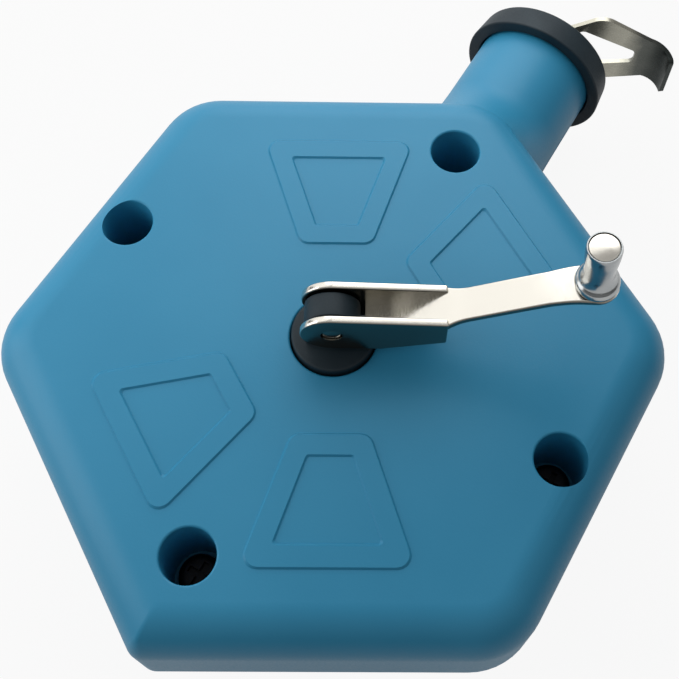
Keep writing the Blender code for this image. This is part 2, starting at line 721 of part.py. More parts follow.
def cap_inner_pieces():
    """Gasket on the neck's end, felt wiper and its retainer."""
    gasket_top = CUP_FLOOR - FIT_GAP
    gasket_bottom = gasket_top - SEAL_RING_THICKNESS
    inner = NECK_RADIUS - SEAL_RING_WIDTH
    along_neck(ring_part("cap_seal_ring", inner, NECK_RADIUS, gasket_bottom, gasket_top, "rubber"))
    hole = LINE_RADIUS + FIT_GAP
    along_neck(ring_part("line_wiper", hole, WIPER_RADIUS, CUP_FLOOR, CUP_FLOOR + WIPER_THICKNESS, "felt"))
    top = CUP_FLOOR - FIT_GAP
    inner = LINE_HOLE_RADIUS
    along_neck(ring_part("wiper_retainer", inner, RETAINER_RADIUS, top - RETAINER_THICKNESS, top, "zinc_steel"))


def smooth_route(points, steps):
    """Points on a smooth curve through a route's own points."""
    ends = [points[0] * 2 - points[1], *points, points[-1] * 2 - points[-2]]
    route = []
    for a, b, c, d in zip(ends, ends[1:], ends[2:], ends[3:]):
        for i in range(steps):
            t = i / steps
            route.append(0.5 * (2 * b + (c - a) * t + (2 * a - 5 * b + 4 * c - d) * t ** 2
                                + (3 * b - a - 3 * c + d) * t ** 3))
    route.append(points[-1])
    return route


def cord(name, route, radius, material):
    """A round cord along a route of points."""
    data = bpy.data.curves.new(name, "CURVE")
    data.dimensions = "3D"
    data.bevel_depth = radius
    data.bevel_resolution = 2
    data.use_fill_caps = True
    spline = data.splines.new("POLY")
    spline.points.add(len(route) - 1)
    for point, place_of in zip(spline.points, route):
        point.co = (*place_of, 1)
    return part(name, data, material)


def line_run():
    """The line from the winding, past the upper screw post, to the splice in the neck."""
    lift = WINDING_RADIUS + FIT_GAP + LINE_RADIUS
    leave = math.radians(18)
    start = Vector((lift * math.cos(leave), lift * math.sin(leave), PARTING))
    past_post = POST_RADIUS + 0.0024
    points = [
        start, start + Vector((-0.0045, 0.0140, 0)),
        Vector((past_post + 0.0030, POST_PITCH_RADIUS - 0.0080, PARTING)),
        Vector((past_post, POST_PITCH_RADIUS + 0.0010, PARTING)),
        Vector((0.0045, LINE_SPLICE - 0.0060, PARTING)), Vector((0.0006, LINE_SPLICE - 0.0014, PARTING)),
        Vector((0, LINE_SPLICE - FIT_GAP, PARTING)),
    ]
    cord("line_run", smooth_route(points, 4), LINE_RADIUS, "line")


def line_end():
    """The straight end of the line, with an open loop round the ring's wire."""
    stem = [Vector((0, reach, PARTING)) for reach in (LINE_SPLICE, (LINE_SPLICE + CAP_START) / 2, CUP_FLOOR)]
    shift = LOOP_RADIUS
    stem.append(Vector((0, LOOP_CENTRE - 1.65 * shift, PARTING)))
    stem.append(Vector((0, LOOP_CENTRE - 1.1 * shift, PARTING + 0.4 * shift)))
    stem.append(Vector((0, LOOP_CENTRE - 0.55 * shift, PARTING + 0.85 * shift)))
    for y, z in arc((LOOP_CENTRE, PARTING), shift, math.radians(90), math.radians(-115), 9):
        stem.append(Vector((0, y, z)))
    cord("line_end", stem, LINE_RADIUS, "line")


def hook_ring():
    """Wire ring between the line's loop and the hook's base bar."""
    bpy.ops.mesh.primitive_torus_add(
        major_radius=RING_RADIUS, minor_radius=RING_WIRE_RADIUS, major_segments=24, minor_segments=8)
    made = bpy.context.object
    data = made.data
    bpy.data.objects.remove(made)
    ring = part("hook_ring", data, "stamped_steel")
    ring.location = (0, RING_CENTRE, PARTING)


def hook_frame():
    """Frame on the hook's base bar: X along the hook's plate, Z across it."""
    reach = HOOK_BAR_CENTRE
    centre = (reach * math.cos(HOOK_ANGLE), RING_CENTRE + reach * math.sin(HOOK_ANGLE), PARTING)
    return frame("hook_axis", centre, (0, 0, HOOK_ANGLE))


def hook_outline():
    """Plate outline from the base bar to the bend."""
    base = -HOOK_BAR / 2
    return rounded([
        (base, HOOK_BASE_HALF, HOOK_BAR / 2), (*HOOK_CREST, HOOK_ROUND), (HOOK_BEND, HOOK_BEND_TOP, FIT_GAP / 10),
        (HOOK_BEND, HOOK_BEND_BOTTOM, FIT_GAP / 10), (*HOOK_FOOT, HOOK_ROUND), (base, -HOOK_BASE_HALF, HOOK_BAR / 2),
    ])


def hook_eye():
    """Triangular eye, widest at the base bar."""
    base = HOOK_BAR / 2
    return rounded([
        (base, EYE_BASE_TOP, EYE_ROUND / 2), (*EYE_CREST, EYE_ROUND), (EYE_TIP, EYE_TIP_TOP, EYE_ROUND),
        (EYE_TIP, EYE_TIP_BOTTOM, EYE_ROUND), (*EYE_FOOT, EYE_ROUND), (base, EYE_BASE_BOTTOM, EYE_ROUND / 2),
    ])


def claw_body():
    """The hook's claw, a broad strip bent towards the case."""
    steps = 7
    overlap = HOOK_SHEET / 2
    rings = [claw_section((HOOK_BEND - overlap, 0), 0, HOOK_BEND_TOP, HOOK_BEND_BOTTOM)]
    for i in range(steps + 1):
        share = i / steps
        angle = CLAW_TURN * share
        place_of = (HOOK_BEND + CLAW_RADIUS * math.sin(angle), CLAW_RADIUS * (math.cos(angle) - 1))
        top = HOOK_BEND_TOP + (CLAW_TIP_TOP - HOOK_BEND_TOP) * share
        bottom = HOOK_BEND_BOTTOM + (CLAW_TIP_BOTTOM - HOOK_BEND_BOTTOM) * share
        rings.append(claw_section(place_of, angle, top, bottom))
    return loft(rings)


def claw_section(place_of, angle, top, bottom):
    """Rectangle across the sheet at one place of the claw."""
    half = HOOK_SHEET / 2 - HOOK_SHEET * 0.02
    out = Vector((math.sin(angle), math.cos(angle), 0)) * half
    middle = Vector((place_of[0], place_of[1], 0))
    high = Vector((0, 0, top))
    low = Vector((0, 0, bottom))
    return [middle + out + high, middle - out + high, middle - out + low, middle + out + low]


def hook():
    """Stamped hook: plate with its eye, and the claw."""
    axis = hook_frame()
    half = HOOK_SHEET / 2
    plate = part("hook", prism(hook_outline(), -half, half), "stamped_steel", axis)
    upright(plate)
    eye = upright(tool("hook_eye", prism(hook_eye(), -2 * half, 2 * half), axis))
    claw = tool("hook_claw", claw_body(), axis)
    combine(plate, eye, "DIFFERENCE")
    combine(plate, claw, "UNION")


def main():
    """Build every piece of the reel."""
    case()
    case_screws()
    spool()
    line_winding()
    spool_bearings()
    crank = crank_frame()
    knob = knob_frame(crank)
    crank_hub(crank)
    crank_arm(crank, knob)
    crank_pin(crank)
    knob_sleeve(knob)
    knob_rivet(knob)
    neck_cap()
    cap_inner_pieces()
    line_run()
    line_end()
    hook_ring()
    hook()


main()
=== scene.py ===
"""Looks of the chalk line reel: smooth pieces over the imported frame, with materials, light and camera.

Metres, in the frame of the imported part. +Y runs along the filler neck and +Z points out of the front face.
"""
import math

import bmesh
import bpy
from mathutils import Matrix, Vector, noise


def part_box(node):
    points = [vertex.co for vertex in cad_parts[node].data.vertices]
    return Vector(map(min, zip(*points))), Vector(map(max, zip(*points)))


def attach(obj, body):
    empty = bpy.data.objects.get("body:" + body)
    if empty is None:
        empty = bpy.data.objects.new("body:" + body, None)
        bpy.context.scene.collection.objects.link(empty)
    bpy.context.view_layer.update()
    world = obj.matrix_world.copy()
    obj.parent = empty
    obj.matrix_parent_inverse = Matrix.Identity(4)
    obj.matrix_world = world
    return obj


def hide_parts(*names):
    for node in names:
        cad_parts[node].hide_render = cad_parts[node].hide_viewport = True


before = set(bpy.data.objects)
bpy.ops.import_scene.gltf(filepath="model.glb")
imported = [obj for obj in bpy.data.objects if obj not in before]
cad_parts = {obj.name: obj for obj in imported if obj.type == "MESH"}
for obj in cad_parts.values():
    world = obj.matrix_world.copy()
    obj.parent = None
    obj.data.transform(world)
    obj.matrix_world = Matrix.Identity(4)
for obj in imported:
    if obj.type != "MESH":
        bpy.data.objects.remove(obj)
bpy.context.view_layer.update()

# Places read from the frame
FRONT_LOW, FRONT_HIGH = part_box("front_shell")
BACK_LOW, BACK_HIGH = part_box("back_shell")
APOTHEM = FRONT_HIGH.x
FRONT = FRONT_HIGH.z
BACK = BACK_LOW.z
NECK_END = FRONT_HIGH.y
PARTING = (FRONT_LOW.z + BACK_HIGH.z) / 2
CAP_LOW, CAP_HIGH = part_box("neck_cap")
HUB_LOW, HUB_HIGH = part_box("crank_hub")
SEAL_LOW, SEAL_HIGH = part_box("hub_seal")
WIPER_LOW, WIPER_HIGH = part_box("line_wiper")
WINDING_LOW, WINDING_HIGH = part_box("line_winding")
SCREW_LOW, SCREW_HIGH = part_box("case_screw_1")
RING_LOW, RING_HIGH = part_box("hook_ring")

# Sizes that the pieces share
FIT_GAP = 0.0003
COS30 = math.cos(math.radians(30))

# Case: the tail is the sharper corner opposite the neck
CORNER_ROUND = 0.0122
TAIL_CORNER = 3
TAIL_ROUND = 0.0030
LEAST_ROUND = 0.0008
EDGE_ROUND = 0.0076
BACK_DRAFT = math.radians(8.0)
WALL = 0.0025
NECK_RADIUS = 0.0126
NECK_BORE_RADIUS = 0.0100
NECK_BLEND_START = 0.0495
NECK_BLEND_LENGTH = 0.0165
NECK_LIP = 0.0005
POST_PITCH_RADIUS = (SCREW_LOW.x + SCREW_HIGH.x) / 2
COUNTERBORE_RADIUS = 0.0045
SCREW_HEAD_HEIGHT = 0.0024
COUNTERBORE_FLOOR = SCREW_HIGH.z - SCREW_HEAD_HEIGHT - FIT_GAP
COUNTERBORE_LIP = 0.0004
POST_WALL = 0.0017
POST_RADIUS = COUNTERBORE_RADIUS + POST_WALL
SHANK_HOLE_RADIUS = 0.0021
HUB_HOLE_RADIUS = 0.0075
SOCKET_RADIUS = 0.0086
SOCKET_WALL = 0.0020
SOCKET_HEIGHT = 0.0050

# Raised design on the front face
RELIEF_HEIGHT = 0.00035
RELIEF_BAND = 0.0040
RELIEF_SLOPE = 0.0003
RELIEF_INNER_REACH = 0.0175
RELIEF_OUTER_REACH = 0.0395
RELIEF_INNER_HALF = 0.0065
RELIEF_OUTER_HALF = 0.0140
RELIEF_ROUND = 0.0022
RELIEF_SIDES = (60, 120, 240, 300)

# Crank, in a frame on its fold pin: X along the arm, Y along the pin; UPRIGHT turns a prism's Z onto the pin
CRANK_ANGLE = math.radians(30.0)
UPRIGHT = Matrix.Rotation(math.pi / 2, 4, "X")
PIN_HEIGHT = 0.0080
PIN_RADIUS = 0.0015
SHEET = 0.0013
SHEET_ROUND = 0.0003
EAR_SPREAD = 0.0037
EAR_INNER = EAR_SPREAD - SHEET
EAR_ROUND = 0.0052
EAR_ROUND_START = math.radians(87.0)
EAR_LENGTH = 0.0188
EAR_END_HEIGHT = 0.0042
EAR_FOOT = (0.0080, -0.0054)
EAR_END_DROP = -0.0026
TONGUE_ROUND = 0.0046
HUB_RADIUS = 0.0072
HUB_CHAMFER = 0.0005
HUB_STAND = 0.0012
HUB_TOP = FRONT + HUB_STAND
SHOULDER_RADIUS = HUB_HIGH.x
SHOULDER_THICKNESS = 0.0018
SHOULDER_TOP = SEAL_LOW.z - FIT_GAP
SHOULDER_BOTTOM = SHOULDER_TOP - SHOULDER_THICKNESS
SHAFT_APOTHEM = 0.0045
SHAFT_RADIUS = SHAFT_APOTHEM / COS30
HUB_SCREW_BORE = 0.0023
HUB_SCREW_TIP = 0.0211
WEB_FLOOR = (0.0054, -0.0016)
WEB_KNEE = (0.0088, -0.0010)
WEB_MIDDLE = (0.0136, 0.00135)
WEB_END = (0.0184, 0.0037)
BAR_START = (0.0220, 0.00525)
BAR_MIDDLE = (0.0280, 0.00815)
BAR_KNEE = (0.0340, 0.0110)
BAR_BEND_END = (0.0376, 0.0124)
BAR_REACH = 0.0412
BAR_KNOB_HEIGHT = 0.01285
BAR_TIP = (0.0446, 0.0131)
BAR_ROUTE = (WEB_FLOOR, WEB_KNEE, WEB_MIDDLE, WEB_END, BAR_START, BAR_MIDDLE, BAR_KNEE, BAR_BEND_END,
             (BAR_REACH, BAR_KNOB_HEIGHT), BAR_TIP)
BAR_HALF_WIDTH = 0.00285
BAR_END_HALF_WIDTH = 0.00335

# Knob, in a frame on its own axis at the bar's top face
KNOB_LEAN = math.radians(4.5)
KNOB_LENGTH = 0.0116
KNOB_BORE = 0.0018
KNOB_RIM = 0.0004
KNOB_END_RADIUS = 0.00262
KNOB_FOOT_RADIUS = 0.00345
KNOB_SIDE = ((0.00275, KNOB_LENGTH - KNOB_RIM), (0.00272, 0.0092), (0.00256, 0.0070), (0.00247, 0.0050),
             (0.00252, 0.0034), (0.00285, 0.0022), (0.00335, 0.0015), (0.00355, 0.0009))
RIVET_RADIUS = 0.0015
RIVET_HEAD_RADIUS = 0.0023
RIVET_HEAD_HEIGHT = 0.0008
RIVET_GAP = 0.00015
RIVET_RECESS = RIVET_HEAD_RADIUS + RIVET_GAP

# Cap
CAP_EDGE = 0.0007
CUP_FLOOR = WIPER_LOW.y
POCKET_RADIUS = WIPER_HIGH.x + FIT_GAP
POCKET_FLOOR = WIPER_HIGH.y + FIT_GAP
LINE_HOLE_RADIUS = 0.0022

# Line: its route is given as steps from the winding, from the post below the neck and from the splice
LINE_RADIUS = 0.0005
LINE_SPLICE = 0.0560
LINE_LEAVE_ANGLE = math.radians(18.0)
LINE_LEAVE_STEP = (-0.0045, 0.0140, 0)
LINE_POST_GAP = 0.0024
LINE_AT_POST = ((0.0030, -0.0080), (0, 0.0010))
LINE_AT_SPLICE = ((0.0045, -0.0060), (0.0006, -0.0014), (0, -FIT_GAP))
STRANDS = 3
STRAND_LAY = 0.0032
STRAND_REACH = LINE_RADIUS * 0.48
STRAND_RADIUS = LINE_RADIUS * 0.50
LOOP_RADIUS = 0.00115
LOOP_END_ANGLE = math.radians(-115.0)
LOOP_LEAD = ((1.65, 0), (1.1, 0.4), (0.55, 0.85))
DRUM_RADIUS = 0.0110
TURN_PITCH = 2.15 * LINE_RADIUS

# Hook, in a frame on its base bar: X along the plate, Z across it
RING_CENTRE = (RING_LOW.y + RING_HIGH.y) / 2
RING_WIRE_RADIUS = (RING_HIGH.z - RING_LOW.z) / 2
RING_RADIUS = RING_HIGH.x - RING_WIRE_RADIUS
RING_JOINT_ANGLE = math.radians(4.0)
HOOK_ANGLE = math.radians(21.7)
HOOK_BAR_CENTRE = 0.0015
HOOK_LENGTH = 0.0240
HOOK_BAR = 0.0016
HOOK_SHEET = 0.0010
HOOK_BEND = 0.0190
HOOK_BASE_HALF = 0.0054
HOOK_CREST = (0.0080, 0.0116)
HOOK_FOOT = (0.0058, -0.0094)
HOOK_BEND_TOP = 0.0061
HOOK_BEND_BOTTOM = -0.0053
HOOK_ROUND = 0.0040
CLAW_RADIUS = 0.0050
CLAW_TURN = math.radians(75.0)
CLAW_TIP_TOP = 0.0042
CLAW_TIP_BOTTOM = -0.0063
EYE_TIP = 0.0163
EYE_TIP_TOP = 0.0024
EYE_TIP_BOTTOM = -0.0012
EYE_CREST = (0.0044, 0.0069)
EYE_FOOT = (0.0026, -0.0050)
EYE_BASE_TOP = 0.0040
EYE_BASE_BOTTOM = -0.0034
EYE_ROUND = 0.0013

# Fineness of the meshes
ROUND_STEPS = 96
SMALL_STEPS = 48
CORNER_STEPS = 8
EDGE_STEPS = 10
NECK_STEPS = 24
LIP_STEPS = 4
EAR_STEPS = 40
TONGUE_STEPS = 32
BAR_STEPS = 8
KNOB_STEPS = 6
CORD_SIDES = 8
RUN_STEPS = 30
END_STEPS = 12
LOOP_STEPS = 9
TURN_STEPS = 64
RING_STEPS = 120
RING_SIDES = 16
CLAW_STEPS = 16
CUT_SLACK = 1e-7
BEVEL_STEPS = 3
BEVEL_ANGLE = math.radians(60.0)
SHARP_ANGLE = math.radians(32.0)

# Studio
FLOOR_HALF = 1.5
FLOOR_DEPTH = 0.01
FLOOR_GREY = 0.45
FLOOR_WHITE_SHARE = 0.92
FLOOR_MIRROR_SHARE = 0.7
FLOOR_SHADE_REACH = 0.12
ROOM_GREYS = ((0.05, 0.10), (0.50, 0.38), (0.90, 0.46))

# Metals: colours of the plating and stretch of the scratches
PLATE_LIGHT = (0.76, 0.73, 0.66)
PLATE_DARK = (0.69, 0.66, 0.59)
SCRATCHES = (1.0, 1.0, 8.0)
LONG_SCRATCHES = (1.0, 1.0, 12.0)
CROSS_SCRATCHES = (6.0, 6.0, 1.0)
EVEN_GRAIN = (1.0, 1.0, 1.0)

# Camera, from the photograph's own perspective
CAMERA_PLACE = (0.044616, -0.062747, 0.213316)
CAMERA_TURN = tuple(math.radians(angle) for angle in (27.1555, -1.0713, 30.0822))
CAMERA_SENSOR = 36.0
CAMERA_LENS = 59.0671
CAMERA_SHIFT = (-0.081479, -0.103537)


def mesh_from(build):
    """A mesh filled by a bmesh function."""
    shape = bmesh.new()
    build(shape)
    bmesh.ops.recalc_face_normals(shape, faces=shape.faces)
    data = bpy.data.meshes.new("shape")
    shape.to_mesh(data)
    shape.free()
    return data


def add_object(name, data):
    """Link a new object to the scene."""
    made = bpy.data.objects.new(name, data)
    bpy.context.scene.collection.objects.link(made)
    return made


def apply_modifiers(made):
    """Turn an object's modifiers into its mesh."""
    bpy.context.view_layer.update()
    graph = bpy.context.evaluated_depsgraph_get()
    data = bpy.data.meshes.new_from_object(made.evaluated_get(graph))
    made.modifiers.clear()
    made.data = data


def combine(made, data, operation, place=Matrix.Identity(4)):
    """Boolean of an object with a mesh that is put at a place."""
    other = add_object("tool", data)
    other.matrix_world = place
    step = made.modifiers.new("combine", "BOOLEAN")
    step.object = other
    step.operation = operation
    step.solver = "EXACT"
    apply_modifiers(made)
    bpy.data.objects.remove(other, do_unlink=True)


def round_edges(made, width):
    """Round an object's sharp edges."""
    bevel = made.modifiers.new("round", "BEVEL")
    bevel.width = width
    bevel.segments = BEVEL_STEPS
    bevel.limit_method = "ANGLE"
    bevel.angle_limit = BEVEL_ANGLE
    bevel.use_clamp_overlap = True
    apply_modifiers(made)


def piece(made, material, body, slot, *nodes):
    """Finish a piece: material, smooth shading, and the body and nodes that it belongs to.

    Normals are weighted by face area, so that a flat face shades evenly up to its rounded rim.
    """
    made.data.materials.clear()
    made.data.materials.append(material)
    made.data.shade_smooth()
    made.data.set_sharp_from_angle(angle=SHARP_ANGLE)
    weighted = made.modifiers.new("normals", "WEIGHTED_NORMAL")
    weighted.keep_sharp = True
    apply_modifiers(made)
    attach(made, body)
    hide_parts(*nodes)


def loft(rings, closed=False):
    """A skin over rings that have the same number of points, closed on itself or with an end on each side."""
    def build(shape):
        rows = [[shape.verts.new(point) for point in ring] for ring in rings]
        pairs = list(zip(rows, rows[1:]))
        if closed:
            pairs.append((rows[-1], rows[0]))
        count = len(rows[0])
        for near, far in pairs:
            for i in range(count):
                j = (i + 1) % count
                shape.faces.new((near[i], near[j], far[j], far[i]))
        if not closed:
            shape.faces.new(rows[0])
            shape.faces.new(rows[-1])
    return mesh_from(build)


def prism(outline, bottom, top):
    """A flat outline in XY, carried from bottom to top."""
    return loft([[(x, y, bottom) for x, y in outline], [(x, y, top) for x, y in outline]])


def rectangle(half_x, half_y):
    """Corners of a rectangle about the origin."""
    return [(-half_x, -half_y), (half_x, -half_y), (half_x, half_y), (-half_x, half_y)]


def circle(radius, steps):
    """Points round a circle about the origin."""
    sweep = [math.tau * i / steps for i in range(steps)]
    return [(radius * math.cos(a), radius * math.sin(a)) for a in sweep]


def lathe(points, steps=ROUND_STEPS, closed=False):
    """Skin of a profile of radii and heights, turned about Z."""
    def build(shape):
        rows = []
        for radius, height in points:
            if radius > 0:
                rows.append([shape.verts.new((x, y, height)) for x, y in circle(radius, steps)])
            else:
                rows.append([shape.verts.new((0, 0, height))])
        pairs = list(zip(rows, rows[1:]))
        if closed:
            pairs.append((rows[-1], rows[0]))
        for near, far in pairs:
            for i in range(steps):
                j = (i + 1) % steps
                corners = (near[i % len(near)], near[j % len(near)], far[j % len(far)], far[i % len(far)])
                shape.faces.new(list(dict.fromkeys(corners)))
    return mesh_from(build)


def arc(centre, radius, start, end, steps):
    """Points on an arc, both ends included."""
    sweep = [start + (end - start) * i / steps for i in range(steps + 1)]
    return [(centre[0] + radius * math.cos(a), centre[1] + radius * math.sin(a)) for a in sweep]


def rounded(corners, closed=True, steps=CORNER_STEPS):
    """Points of an outline through corners that are given as x, y and rounding."""
    outline = []
    last = len(corners) - 1
    for i, (x, y, radius) in enumerate(corners):
        if radius == 0 or (not closed and i in (0, last)):
            outline.append((x, y))
            continue
        here = Vector((x, y))
        back = (Vector(corners[i - 1][:2]) - here).normalized()
        ahead = (Vector(corners[(i + 1) % len(corners)][:2]) - here).normalized()
        half = back.angle(ahead) / 2
        middle = here + (back + ahead).normalized() * radius / math.sin(half)
        start = (here + back * radius / math.tan(half) - middle).normalized()
        end = (here + ahead * radius / math.tan(half) - middle).normalized()
        outline += [tuple(middle + start.slerp(end, k / steps) * radius) for k in range(steps + 1)]
    return outline


def smooth_route(points, steps):
    """Points on a smooth curve through a route's own points."""
    points = [Vector(point) for point in points]
    ends = [points[0] * 2 - points[1], *points, points[-1] * 2 - points[-2]]
    route = []
    for a, b, c, d in zip(ends, ends[1:], ends[2:], ends[3:]):
        for i in range(steps):
            t = i / steps
            route.append(0.5 * (2 * b + (c - a) * t + (2 * a - 5 * b + 4 * c - d) * t ** 2
                                + (3 * b - a - 3 * c + d) * t ** 3))
    route.append(points[-1])
    return route


def directions(route):
    """Directions along a route, at each of its points."""
    for i in range(len(route)):
        yield (route[min(i + 1, len(route) - 1)] - route[max(i - 1, 0)]).normalized()


def joined(name, meshes):
    """One object of several meshes."""
    shape = bmesh.new()
    for mesh in meshes:
        shape.from_mesh(mesh)
    data = bpy.data.meshes.new(name)
    shape.to_mesh(data)
    shape.free()
    return add_object(name, data)


def along_neck():
    """Place that turns Z onto the neck axis."""
    return Matrix.Translation((0, 0, PARTING)) @ Matrix.Rotation(-math.pi / 2, 4, "X")


def crank_place():
    """Place of the crank's frame on its fold pin."""
    return Matrix.Translation((0, 0, FRONT + PIN_HEIGHT)) @ Matrix.Rotation(CRANK_ANGLE, 4, "Z")


def knob_place():
    """Place of the knob's leaning axis."""
    lean = Matrix.Rotation(-KNOB_LEAN, 4, "Y")
    return crank_place() @ Matrix.Translation((BAR_REACH, 0, BAR_KNOB_HEIGHT)) @ lean


def hook_place():
    """Place of the hook's base bar."""
    reach = HOOK_BAR_CENTRE
    centre = (reach * math.cos(HOOK_ANGLE), RING_CENTRE + reach * math.sin(HOOK_ANGLE), PARTING)
    return Matrix.Translation(centre) @ Matrix.Rotation(HOOK_ANGLE, 4, "Z")


def nodes_of(name):
    """New material with its node tree and shader."""
    made = bpy.data.materials.new(name)
    made.use_nodes = True
    return made, made.node_tree, made.node_tree.nodes["Principled BSDF"]


def object_noise(tree, scale, detail=4.0, stretch=(1, 1, 1)):
    """Noise in the piece's own coordinates, with features about one over scale metres wide."""
    place = tree.nodes.new("ShaderNodeTexCoord")
    mapping = tree.nodes.new("ShaderNodeMapping")
    mapping.inputs["Scale"].default_value = stretch
    texture = tree.nodes.new("ShaderNodeTexNoise")
    texture.inputs["Scale"].default_value = scale
    texture.inputs["Detail"].default_value = detail
    tree.links.new(place.outputs["Object"], mapping.inputs["Vector"])
    tree.links.new(mapping.outputs["Vector"], texture.inputs["Vector"])
    return texture.outputs["Fac"]


def ramp(tree, source, stops):
    """Colours or values along a factor."""
    made = tree.nodes.new("ShaderNodeValToRGB")
    elements = made.color_ramp.elements
    for k, (position, colour) in enumerate(stops):
        stop = elements[k] if k < len(elements) else elements.new(position)
        stop.position = position
        stop.color = (*colour, 1.0)
    tree.links.new(source, made.inputs["Fac"])
    return made.outputs["Color"]


def grey(value):
    """A grey colour."""
    return (value, value, value)


def add_bump(tree, shader, source, distance, strength):
    """Bump from a height source."""
    bump = tree.nodes.new("ShaderNodeBump")
    bump.inputs["Distance"].default_value = distance
    bump.inputs["Strength"].default_value = strength
    tree.links.new(source, bump.inputs["Height"])
    tree.links.new(bump.outputs["Normal"], shader.inputs["Normal"])


def case_plastic():
    """Blue moulded plastic with a fine spark-eroded grain."""
    made, tree, shader = nodes_of("case_plastic")
    patches = object_noise(tree, scale=38.0, detail=3.0)
    colour = ramp(tree, patches, ((0.30, (0.020, 0.212, 0.372)), (0.72, (0.026, 0.230, 0.396))))
    tree.links.new(colour, shader.inputs["Base Color"])
    grain = object_noise(tree, scale=2600.0, detail=2.0)
    tree.links.new(ramp(tree, grain, ((0.3, grey(0.36)), (0.7, grey(0.46)))), shader.inputs["Roughness"])
    add_bump(tree, shader, grain, distance=0.00003, strength=0.35)
    shader.inputs["Specular IOR Level"].default_value = 0.35
    return made


def black_plastic():
    """Matte black moulded plastic with chalk-dulled patches."""
    made, tree, shader = nodes_of("black_plastic")
    patches = object_noise(tree, scale=160.0, detail=5.0)
    colour = ramp(tree, patches, ((0.35, (0.006, 0.015, 0.022)), (0.75, (0.014, 0.026, 0.034))))
    tree.links.new(colour, shader.inputs["Base Color"])
    grain = object_noise(tree, scale=3200.0, detail=2.0)
    tree.links.new(ramp(tree, grain, ((0.3, grey(0.46)), (0.7, grey(0.58)))), shader.inputs["Roughness"])
    add_bump(tree, shader, grain, distance=0.00003, strength=0.4)
    shader.inputs["Specular IOR Level"].default_value = 0.30
    return made


def natural_plastic():
    """Pale moulded plastic of the spool, dusted with blue chalk."""
    made, tree, shader = nodes_of("natural_plastic")
    dust = object_noise(tree, scale=120.0, detail=6.0)
    colour = ramp(tree, dust, ((0.45, (0.55, 0.55, 0.52)), (0.70, (0.30, 0.42, 0.55))))
    tree.links.new(colour, shader.inputs["Base Color"])
    tree.links.new(ramp(tree, dust, ((0.4, grey(0.45)), (0.7, grey(0.8)))), shader.inputs["Roughness"])
    add_bump(tree, shader, object_noise(tree, scale=2400.0), distance=0.00003, strength=0.3)
    return made


def math_node(tree, operation, *values):
    """Result of one arithmetic step on sockets and plain numbers."""
    made = tree.nodes.new("ShaderNodeMath")
    made.operation = operation
    for slot, value in zip(made.inputs, values):
        if isinstance(value, (int, float)):
            slot.default_value = value
        else:
            tree.links.new(value, slot)
    return made.outputs["Value"]


def metal_finish(tree, shader, smooth, rough, stretch, bump):
    """Drawn scratches of a metal's surface."""
    scratches = object_noise(tree, scale=900.0, detail=6.0, stretch=stretch)
    roughness = ramp(tree, scratches, ((0.3, grey(smooth)), (0.75, grey(rough))))
    tree.links.new(roughness, shader.inputs["Roughness"])
    add_bump(tree, shader, scratches, distance=0.00002, strength=bump)
    shader.inputs["Metallic"].default_value = 1.0


def metal(name, light, dark, smooth, rough, stretch, bump):
    """Plated metal with drawn scratches and dull patches."""
    made, tree, shader = nodes_of(name)
    patches = object_noise(tree, scale=210.0, detail=5.0)
    tree.links.new(ramp(tree, patches, ((0.32, light), (0.74, dark))), shader.inputs["Base Color"])
    metal_finish(tree, shader, smooth, rough, stretch, bump)
    return made


def hook_steel_painted_shade():
    """Stamped steel with painted shade: darker towards the claw, standing in for the dark reflections there.
    """
    made, tree, shader = nodes_of("hook_steel_painted_shade")
    place = tree.nodes.new("ShaderNodeTexCoord")
    mapping = tree.nodes.new("ShaderNodeMapping")
    mapping.vector_type = "TEXTURE"
    mapping.inputs["Location"].default_value = hook_place().translation
    mapping.inputs["Rotation"].default_value = (0, 0, HOOK_ANGLE)
    mapping.inputs["Scale"].default_value = (HOOK_LENGTH, HOOK_LENGTH, HOOK_LENGTH)
    tree.links.new(place.outputs["Object"], mapping.inputs["Vector"])
    split = tree.nodes.new("ShaderNodeSeparateXYZ")
    tree.links.new(mapping.outputs["Vector"], split.inputs["Vector"])
    patches = object_noise(tree, scale=260.0, detail=4.0)
    reach = math_node(tree, "MULTIPLY_ADD", patches, 0.12, split.outputs["X"])
    # Pale steel near the base, then painted shade: the grey and dark stops stand in for dark reflections
    # towards the claw
    pale = (0.480, 0.465, 0.390)
    painted_shade_grey = (0.128, 0.134, 0.122)
    dark = (0.042, 0.049, 0.047)
    colour = ramp(tree, reach, ((0.62, pale), (0.78, painted_shade_grey), (0.98, dark)))
    tree.links.new(colour, shader.inputs["Base Color"])
    metal_finish(tree, shader, smooth=0.24, rough=0.36, stretch=LONG_SCRATCHES, bump=0.15)
    return made


def crank_steel_painted_side_shade():
    """Plated sheet, bright on its rolled face, with painted shade that darkens the ears' sides and the cut
    edges.
    """
    made, tree, shader = nodes_of("crank_steel_painted_side_shade")
    place = tree.nodes.new("ShaderNodeTexCoord")
    along_pin = tree.nodes.new("ShaderNodeVectorMath")
    along_pin.operation = "DOT_PRODUCT"
    along_pin.inputs[1].default_value = crank_place().col[1].xyz
    tree.links.new(place.outputs["Normal"], along_pin.inputs[0])
    sideways = math_node(tree, "ABSOLUTE", along_pin.outputs["Value"])
    patches = object_noise(tree, scale=210.0, detail=5.0)
    painted_side_shade = math_node(tree, "MULTIPLY_ADD", patches, 0.20, sideways)
    # The darkest stop is painted shade on faces that turn sideways, for the ears' shadowed and darkly
    # mirrored sides
    colour = ramp(tree, painted_side_shade, ((0.06, PLATE_LIGHT), (0.60, PLATE_DARK), (0.94, (0.22, 0.21, 0.18))))
    tree.links.new(colour, shader.inputs["Base Color"])
    metal_finish(tree, shader, smooth=0.12, rough=0.26, stretch=SCRATCHES, bump=0.12)
    return made


